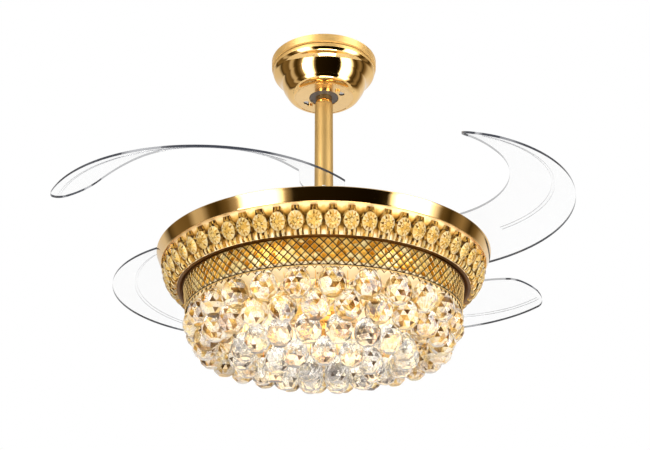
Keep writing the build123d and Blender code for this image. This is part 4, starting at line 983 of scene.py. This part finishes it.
def build_lattice():
    """Makes the band of diamonds: rows round the lamp, each half a diamond up and aside from the last."""
    tall = LATTICE_HEAD - LATTICE_FOOT
    cell = (tall - LOW_RIM - HIGH_RIM) / LATTICE_ROWS
    wide = math.pi * LATTICE_FOOT_RADIUS / LATTICE_COLUMNS
    form = diamond(wide, cell / 2)
    points = []
    faces = []
    for half_row in range(2 * LATTICE_ROWS + 1):
        rise = LOW_RIM + half_row * cell / 2
        radius = LATTICE_FOOT_RADIUS + LATTICE_LEAN * rise / tall
        wall = on_wall(radius, LATTICE_FOOT + rise, LATTICE_LEAN, tall)
        start = 180.0 / LATTICE_COLUMNS * (half_row % 2)
        more, more_faces, _ = copies(form, [turn @ wall for turn in around(LATTICE_COLUMNS, start)])
        faces += renumbered(more_faces, len(points))
        points += more
    form_slots = [slot for slot in FRAME_SLOTS for _ in range(CORNERS)]
    slots = form_slots * (len(faces) // len(form_slots))
    lattice = mesh_piece("diamond_lattice", points, faces, LATTICE_GOLDS, slots, smooth=LATTICE_SMOOTH)
    stands_for(lattice, "lattice_band")


def rim_slot(radius, height):
    """Gives the painted shade gold for the upper half of the lower rim, and the painted highlight gold for
    its lower half.
    """
    return DARK if height > LATTICE_FOOT + LOW_RIM / 2 else LIGHT


def build_rims():
    """Makes the two rims of the lattice band and the row of dots."""
    low_top = LATTICE_FOOT + LOW_RIM
    high_foot = LATTICE_HEAD - HIGH_RIM
    low = LATTICE_FOOT_RADIUS
    high = LATTICE_HEAD_RADIUS
    lower = [
        (low - STRUT, LATTICE_FOOT),
        (low + RIM_PROUD, LATTICE_FOOT),
        (low + RIM_FLARE * RIM_PROUD, low_top),
        (low - STRUT, low_top),
    ]
    upper = [
        (high + RIM_PROUD / 2, LATTICE_HEAD),
        (high - STRUT, LATTICE_HEAD),
        (high - STRUT, high_foot),
        (high + RIM_PROUD / 2, high_foot),
    ]
    lower_rim = revolved("lattice_lower_rim", softened(lower, FINE_EDGE), LATTICE_GOLDS, BAND_SIDES, rim_slot)
    trims(lower_rim, "lattice_band")
    upper_rim = revolved("lattice_upper_rim", softened(upper, FINE_EDGE), (BROWN_GOLD,), BAND_SIDES)
    trims(upper_rim, "lattice_band")
    dot = Shape()
    base = dot.add(circle_points(DOT_RADIUS, DOT_SIDES))
    tip = dot.add([(0.0, 0.0, DOT_RADIUS / 2)])
    for k in range(DOT_SIDES):
        dot.face((base[k], base[(k + 1) % DOT_SIDES], tip[0]))
    wall = on_wall(low + RIM_PROUD, low_top + DOT_RADIUS / 2, LATTICE_LEAN, LATTICE_HEAD - LATTICE_FOOT)
    points, faces, _ = copies(dot, [turn @ wall for turn in around(DOT_COUNT)])
    trims(mesh_piece("lattice_rim_dots", points, faces, (BLACK_DOTS,)), "lattice_band")


build_lattice()
build_rims()

# Upright crystals on the gem wall: a cut lens between a fluted foot and a fluted crest

GEM_COUNT = 60
GEM_TURN = 3.0
GEM_FOOT_HEIGHT = -404.4
GEM_WALL_LEAN = 20.0
GEM_WALL_TALL = 35.0
LENS_SIDES = 12
LENS_MIDDLE = 20.8
# rings of the lens from its back to its table: half width, half height, height over the wall, turn in steps
LENS_RINGS = (
    (9.8, 12.0, 0.3, 0.0),
    (11.8, 14.4, 3.2, 0.5),
    (10.5, 12.9, 7.4, 1.0),
    (6.2, 7.4, 10.0, 1.5),
    (2.4, 3.0, 10.7, 2.0),
)
# each ring's two sets of facets take a light and a dark tint: painted glints and painted shade
LENS_TINTS = ((0.9, 1.0), (0.7, 0.9), (0.05, 0.65), (0.35, 0.85))
LENS_BACK_TINT = 0.2
LENS_TABLE_TINT = 0.45
FLUTES = 5
# foot and crest: low end and high end up the slope, half width there, tints of the flutes' two sides, a light
# and a dark tint as painted light and shade
GEM_ENDS = ((0.4, 10.0, 8.8, 8.8, (0.1, 0.9)), (31.6, 39.9, 6.0, 4.8, (0.75, 1.0)))
END_BACK = 0.4
END_RISE = 2.4
END_BULGE = 4.2
# rows of points across an end: how far up it, and share of the crown's height there
END_ROWS = ((0.0, 0.8), (0.5, 1.0), (1.0, 0.75))
# how round the crown is across: 0 is flat, 1 is a half ellipse
CROWN_ROUND = 0.8
FLUTE_RISE = 1.0
# how far a facet's tint drifts at random
GEM_DRIFT = 0.3


def add_lens(made):
    """Adds the lens: rings of corners from its flat back to its table."""
    rings = []
    for wide, tall, out, turn in LENS_RINGS:
        angles = [2 * math.pi * (k + turn) / LENS_SIDES for k in range(LENS_SIDES)]
        rings.append(made.add([(wide * math.sin(a), LENS_MIDDLE + tall * math.cos(a), out) for a in angles]))
    made.face(rings[0], LENS_BACK_TINT)
    for low, high, tints in zip(rings, rings[1:], LENS_TINTS):
        made.bridge(low, high, tints)
    made.face(rings[-1], LENS_TABLE_TINT)


def add_fluted_end(made, low, high, wide_low, wide_high, tints):
    """Adds a fluted, crowned block between two heights up the slope."""
    steps = 2 * FLUTES
    rows = []
    for share, lift in END_ROWS:
        wide = wide_low + (wide_high - wide_low) * share
        row = []
        for k in range(steps + 1):
            across = 2 * k / steps - 1
            crown = END_RISE + END_BULGE * math.sqrt(1 - CROWN_ROUND * across * across)
            row.append((wide * across, low + (high - low) * share, crown * lift + FLUTE_RISE * (k % 2)))
        rows.append(made.add(row))
    foot = made.add([(-wide_low, low, END_BACK), (wide_low, low, END_BACK)])
    head = made.add([(-wide_high, high, END_BACK), (wide_high, high, END_BACK)])
    for near, far in zip(rows, rows[1:]):
        for k in range(steps):
            # the two sides of each flute take the light and the dark tint: painted light and shade
            made.face((near[k], near[k + 1], far[k + 1], far[k]), tints[(k // 2 + k) % 2])
    made.face((foot[0], foot[1], head[1], head[0]))
    made.face((foot[0], *rows[0], foot[1]))
    made.face((head[0], *rows[2], head[1]))
    made.face((foot[0], rows[0][0], rows[1][0], rows[2][0], head[0]))
    made.face((foot[1], rows[0][-1], rows[1][-1], rows[2][-1], head[1]))


def build_gems():
    """Makes one crystal and copies it round the wall."""
    gem = Shape()
    add_lens(gem)
    for end in GEM_ENDS:
        add_fluted_end(gem, *end)
    wall = on_wall(WALL_FOOT_RADIUS, GEM_FOOT_HEIGHT, GEM_WALL_LEAN, GEM_WALL_TALL)
    points, faces, tints = copies(gem, [turn @ wall for turn in around(GEM_COUNT, GEM_TURN)], GEM_DRIFT)
    stands_for(mesh_piece("cut_crystals", points, faces, (GEM_CRYSTAL,), (), tints, None), "crystal_gems")


build_gems()

# Hanging balls: cut crystal on hooks and wires

BALL_SIDES = 12
BALL_LATITUDES = (67.0, 47.0, 27.0, 7.0, -13.0, -36.0, -62.0)
# how far a ball facet's tint drifts at random, spreading its facets over the crystal's painted reflections
# and shade
BALL_DRIFT = 0.5
BALL_TILT = 7.0
# how much taller the upper half of a ball is than its lower half
BALL_CROWN = 1.3
# circle radius, number of balls, first angle and radius of the balls of each tier, from the outside in
TIERS = (
    (187.0, 25, -86.4, 19.4),
    (172.0, 25, -93.6, 19.4),
    (146.0, 20, -90.0, 19.4),
    (120.0, 18, -80.0, 19.0),
    (72.0, 11, -90.0, 18.6),
    (27.0, 4, -45.0, 18.2),
)
CLEAR_TIERS_FROM = 4
_, PLATE_FOOT, _ = reach("chassis_plate")
SHELF = -464.2
WIRE_RADIUS = 0.5
WIRE_SIDES = 6
COLLAR_SIDES = 8
WIRE_SMOOTH = 50.0
# collar of a ball's hook: height over the ball's middle and radius
COLLAR = ((22.0, 3.4), (23.8, 3.2), (25.2, 1.2))


def ball_shape(size):
    """Makes a cut ball: rings of corners, each turned half a step from the one above."""
    made = Shape()
    rings = []
    for row, latitude in enumerate(BALL_LATITUDES):
        across = size * math.cos(math.radians(latitude))
        height = size * math.sin(math.radians(latitude)) * (BALL_CROWN if latitude > 0 else 1.0)
        rings.append(made.add(circle_points(across, BALL_SIDES, height, 180.0 / BALL_SIDES * row)))
    for low, high in zip(rings, rings[1:]):
        made.bridge(low, high)
    made.face(rings[0])
    made.face(rings[-1])
    return made


def wire_shape(height, top):
    """Makes a ball's wire and the collar of its hook."""
    made = Shape()
    wire = [made.add(circle_points(WIRE_RADIUS, WIRE_SIDES, z)) for z in (height + COLLAR[0][0], top)]
    collar = [made.add(circle_points(radius, COLLAR_SIDES, height + z)) for z, radius in COLLAR]
    for rings in (wire, collar):
        for low, high in zip(rings, rings[1:]):
            made.bridge(low, high)
    return made


def tilted():
    """Gives a random turn and a slight random tilt."""
    tilt = Matrix.Rotation(math.radians(rng.uniform(-BALL_TILT, BALL_TILT)), 4, "X")
    return tilt @ Matrix.Rotation(rng.uniform(0.0, math.pi), 4, "Z")


def build_balls():
    """Makes the balls tier by tier, and all their wires as one piece."""
    wire_points = []
    wire_faces = []
    for number, (radius, count, start, size) in enumerate(TIERS, start=1):
        node = f"ball_tier_{number}"
        _, low, high = reach(node)
        height = (low + high) / 2
        place = Matrix.Translation((radius, 0.0, height))
        glass = CLEAR_CRYSTAL if number >= CLEAR_TIERS_FROM else GOLD_GLINT_CRYSTAL
        placings = [turn @ place @ tilted() for turn in around(count, start)]
        points, faces, tints = copies(ball_shape(size), placings, BALL_DRIFT)
        stands_for(mesh_piece(f"cut_balls_{number}", points, faces, (glass,), (), tints, None), node)
        wire = wire_shape(height, SHELF if number == len(TIERS) else PLATE_FOOT)
        beside = Matrix.Translation((radius, 0.0, 0.0))
        points, faces, _ = copies(wire, [turn @ beside for turn in around(count, start)])
        wire_faces += renumbered(faces, len(wire_points))
        wire_points += points
    wires = mesh_piece("ball_wires", wire_points, wire_faces, (POLISHED_GOLD,), smooth=WIRE_SMOOTH)
    stands_for(wires, "ball_pins")


build_balls()

# Stage, light and camera

FLOOR_RADIUS = 2200.0
FLOOR_HEIGHT = -1900.0
FLOOR_SIDES = 96
FLOOR_NOISE = 3.0
FLOOR_TINTS = ((0.80, 0.79, 0.77), (0.84, 0.83, 0.81))
# light round the object by azimuth in degrees from the camera's side: bright panels, dark middle
ROUND_ABOUT = (
    (-180, 0.17), (-130, 0.14), (-121, 0.012), (-113, 0.04), (-98, 0.03), (-92, 0.12),
    (-86, 0.11), (-80, 0.02), (-73, 0.01), (-65, 0.03), (-58, 0.10), (-53, 0.9),
    (-50, 1.0), (-33, 1.0), (-29, 0.6), (-25, 0.08), (-20, 0.003), (36, 0.001),
    (43, 0.004), (48, 0.8), (52, 1.0), (71, 1.0), (76, 0.3), (82, 0.03),
    (90, 0.01), (102, 0.06), (111, 0.01), (119, 0.04), (128, 0.12), (140, 0.17),
    (180, 0.17),
)
# how far the even light from above and below covers the panels, from nadir to zenith
OVERHEAD = ((0.0, 0.9), (0.04, 0.8), (0.08, 0.0), (0.80, 0.0), (0.92, 0.85), (1.0, 1.0))
EVEN_LIGHT = 0.10
# light dimmer than this turns warm: green and blue of the dimmest, as shares of its red
WARM_BELOW = 0.15
WARM_GREEN = 0.65
WARM_BLUE = 0.15
STUDIO_STRENGTH = 5.0
CRYSTAL_LIGHT = 0.95
CRYSTAL_SHARE = 0.9
BACKDROP_STRENGTH = 1.0
PHOTO_WIDTH = 650.0
PHOTO_FOCUS = 1100.0
SENSOR = 36.0
CAMERA_PLACE = (1.84, -1530.6, -995.0)
CAMERA_PITCH = 24.68
AIM = (0.0, 0.0, -400.0)
# place, aim, width, height, power in watts and colour of each lamp
LAMPS = {
    "key": ((-1900.0, -2000.0, 300.0), AIM, 1200.0, 1600.0, 30.0, (1.0, 1.0, 1.0)),
    "fill": ((2200.0, -1400.0, -600.0), AIM, 1000.0, 1400.0, 22.0, (1.0, 1.0, 1.0)),
    "low": ((200.0, -1200.0, -1800.0), AIM, 1200.0, 800.0, 32.0, (1.0, 0.95, 0.86)),
}


def build_stage():
    """Makes the floor far below."""
    made, shader, tree = material("pale_floor")
    tint = ramp(tree, noise(tree, EVEN, FLOOR_NOISE), ((0.3, FLOOR_TINTS[0]), (0.7, FLOOR_TINTS[1])))
    tree.links.new(tint, shader.inputs["Base Color"])
    shader.inputs["Roughness"].default_value = 0.7
    rim = circle_points(FLOOR_RADIUS, FLOOR_SIDES, FLOOR_HEIGHT)
    mesh_piece("floor", rim, [tuple(range(len(rim)))], (made,))


def warm_dark(light):
    """Gives a light its colour: white where it is bright, warm brown where it is dim."""
    share = min(1.0, light / WARM_BELOW)
    green = WARM_GREEN + (1.0 - WARM_GREEN) * share
    blue = WARM_BLUE + (1.0 - WARM_BLUE) * share
    return (light, light * green, light * blue)


def build_world():
    """Makes a white backdrop, and for reflections a studio of bright panels beside a dark middle."""
    world = bpy.data.worlds.new("studio")
    bpy.context.scene.world = world
    world.use_nodes = True
    tree = world.node_tree
    link = tree.links.new
    tree.nodes.clear()
    where = add_node(tree, "ShaderNodeTexCoord")
    split = add_node(tree, "ShaderNodeSeparateXYZ")
    toward = add_node(tree, "ShaderNodeMath", operation="MULTIPLY")
    azimuth = add_node(tree, "ShaderNodeMath", operation="ARCTAN2")
    toward.inputs[1].default_value = -1.0
    link(where.outputs["Generated"], split.inputs[0])
    link(split.outputs["Y"], toward.inputs[0])
    link(split.outputs["X"], azimuth.inputs[0])
    link(toward.outputs[0], azimuth.inputs[1])
    turn = scaled_share(tree, azimuth.outputs[0], -math.pi, math.pi)
    stops = [((degrees + 180.0) / 360.0, warm_dark(light)) for degrees, light in ROUND_ABOUT]
    panels = ramp(tree, turn, stops)
    cover = ramp(tree, scaled_share(tree, split.outputs["Z"], -1.0, 1.0), OVERHEAD)
    mixed = add_node(tree, "ShaderNodeMix", data_type="RGBA")
    mixed.inputs["B"].default_value = colour_of(EVEN_LIGHT)
    link(cover, mixed.inputs["Factor"])
    link(panels, mixed.inputs["A"])
    studio = add_node(tree, "ShaderNodeBackground", Strength=STUDIO_STRENGTH)
    backdrop = add_node(tree, "ShaderNodeBackground", Color=colour_of(1.0), Strength=BACKDROP_STRENGTH)
    seen = add_node(tree, "ShaderNodeLightPath")
    through = add_node(tree, "ShaderNodeMath", operation="MULTIPLY")
    room = add_node(tree, "ShaderNodeBackground", Color=colour_of(1.0), Strength=CRYSTAL_LIGHT)
    inner = add_node(tree, "ShaderNodeMixShader")
    both = add_node(tree, "ShaderNodeMixShader")
    out = add_node(tree, "ShaderNodeOutputWorld")
    through.inputs[1].default_value = CRYSTAL_SHARE
    link(mixed.outputs["Result"], studio.inputs["Color"])
    link(seen.outputs["Is Transmission Ray"], through.inputs[0])
    link(through.outputs[0], inner.inputs[0])
    link(studio.outputs[0], inner.inputs[1])
    link(room.outputs[0], inner.inputs[2])
    link(seen.outputs["Is Camera Ray"], both.inputs[0])
    link(inner.outputs[0], both.inputs[1])
    link(backdrop.outputs[0], both.inputs[2])
    link(both.outputs[0], out.inputs["Surface"])


def hang_lamp(name, place, aim, wide, tall, power, colour):
    """Hangs an area light that faces a point."""
    light = bpy.data.lights.new(name, "AREA")
    light.shape = "RECTANGLE"
    light.size = wide * MM
    light.size_y = tall * MM
    light.energy = power
    light.color = colour
    lamp = bpy.data.objects.new(name, light)
    lamp.location = Vector(place) * MM
    lamp.rotation_euler = (Vector(aim) - Vector(place)).to_track_quat("-Z", "Y").to_euler()
    lamp.visible_camera = False
    bpy.context.scene.collection.objects.link(lamp)


def build_camera():
    """Sets the camera where the photo was taken from."""
    data = bpy.data.cameras.new("camera")
    data.sensor_width = SENSOR
    data.lens = PHOTO_FOCUS / PHOTO_WIDTH * SENSOR
    camera = bpy.data.objects.new("camera", data)
    camera.location = Vector(CAMERA_PLACE) * MM
    camera.rotation_euler = (math.radians(90.0 + CAMERA_PITCH), 0.0, 0.0)
    bpy.context.scene.collection.objects.link(camera)
    bpy.context.scene.camera = camera


bpy.context.scene.view_settings.view_transform = "Standard"
build_stage()
build_world()
for lamp_name, lamp_sizes in LAMPS.items():
    hang_lamp(lamp_name, *lamp_sizes)
build_camera()
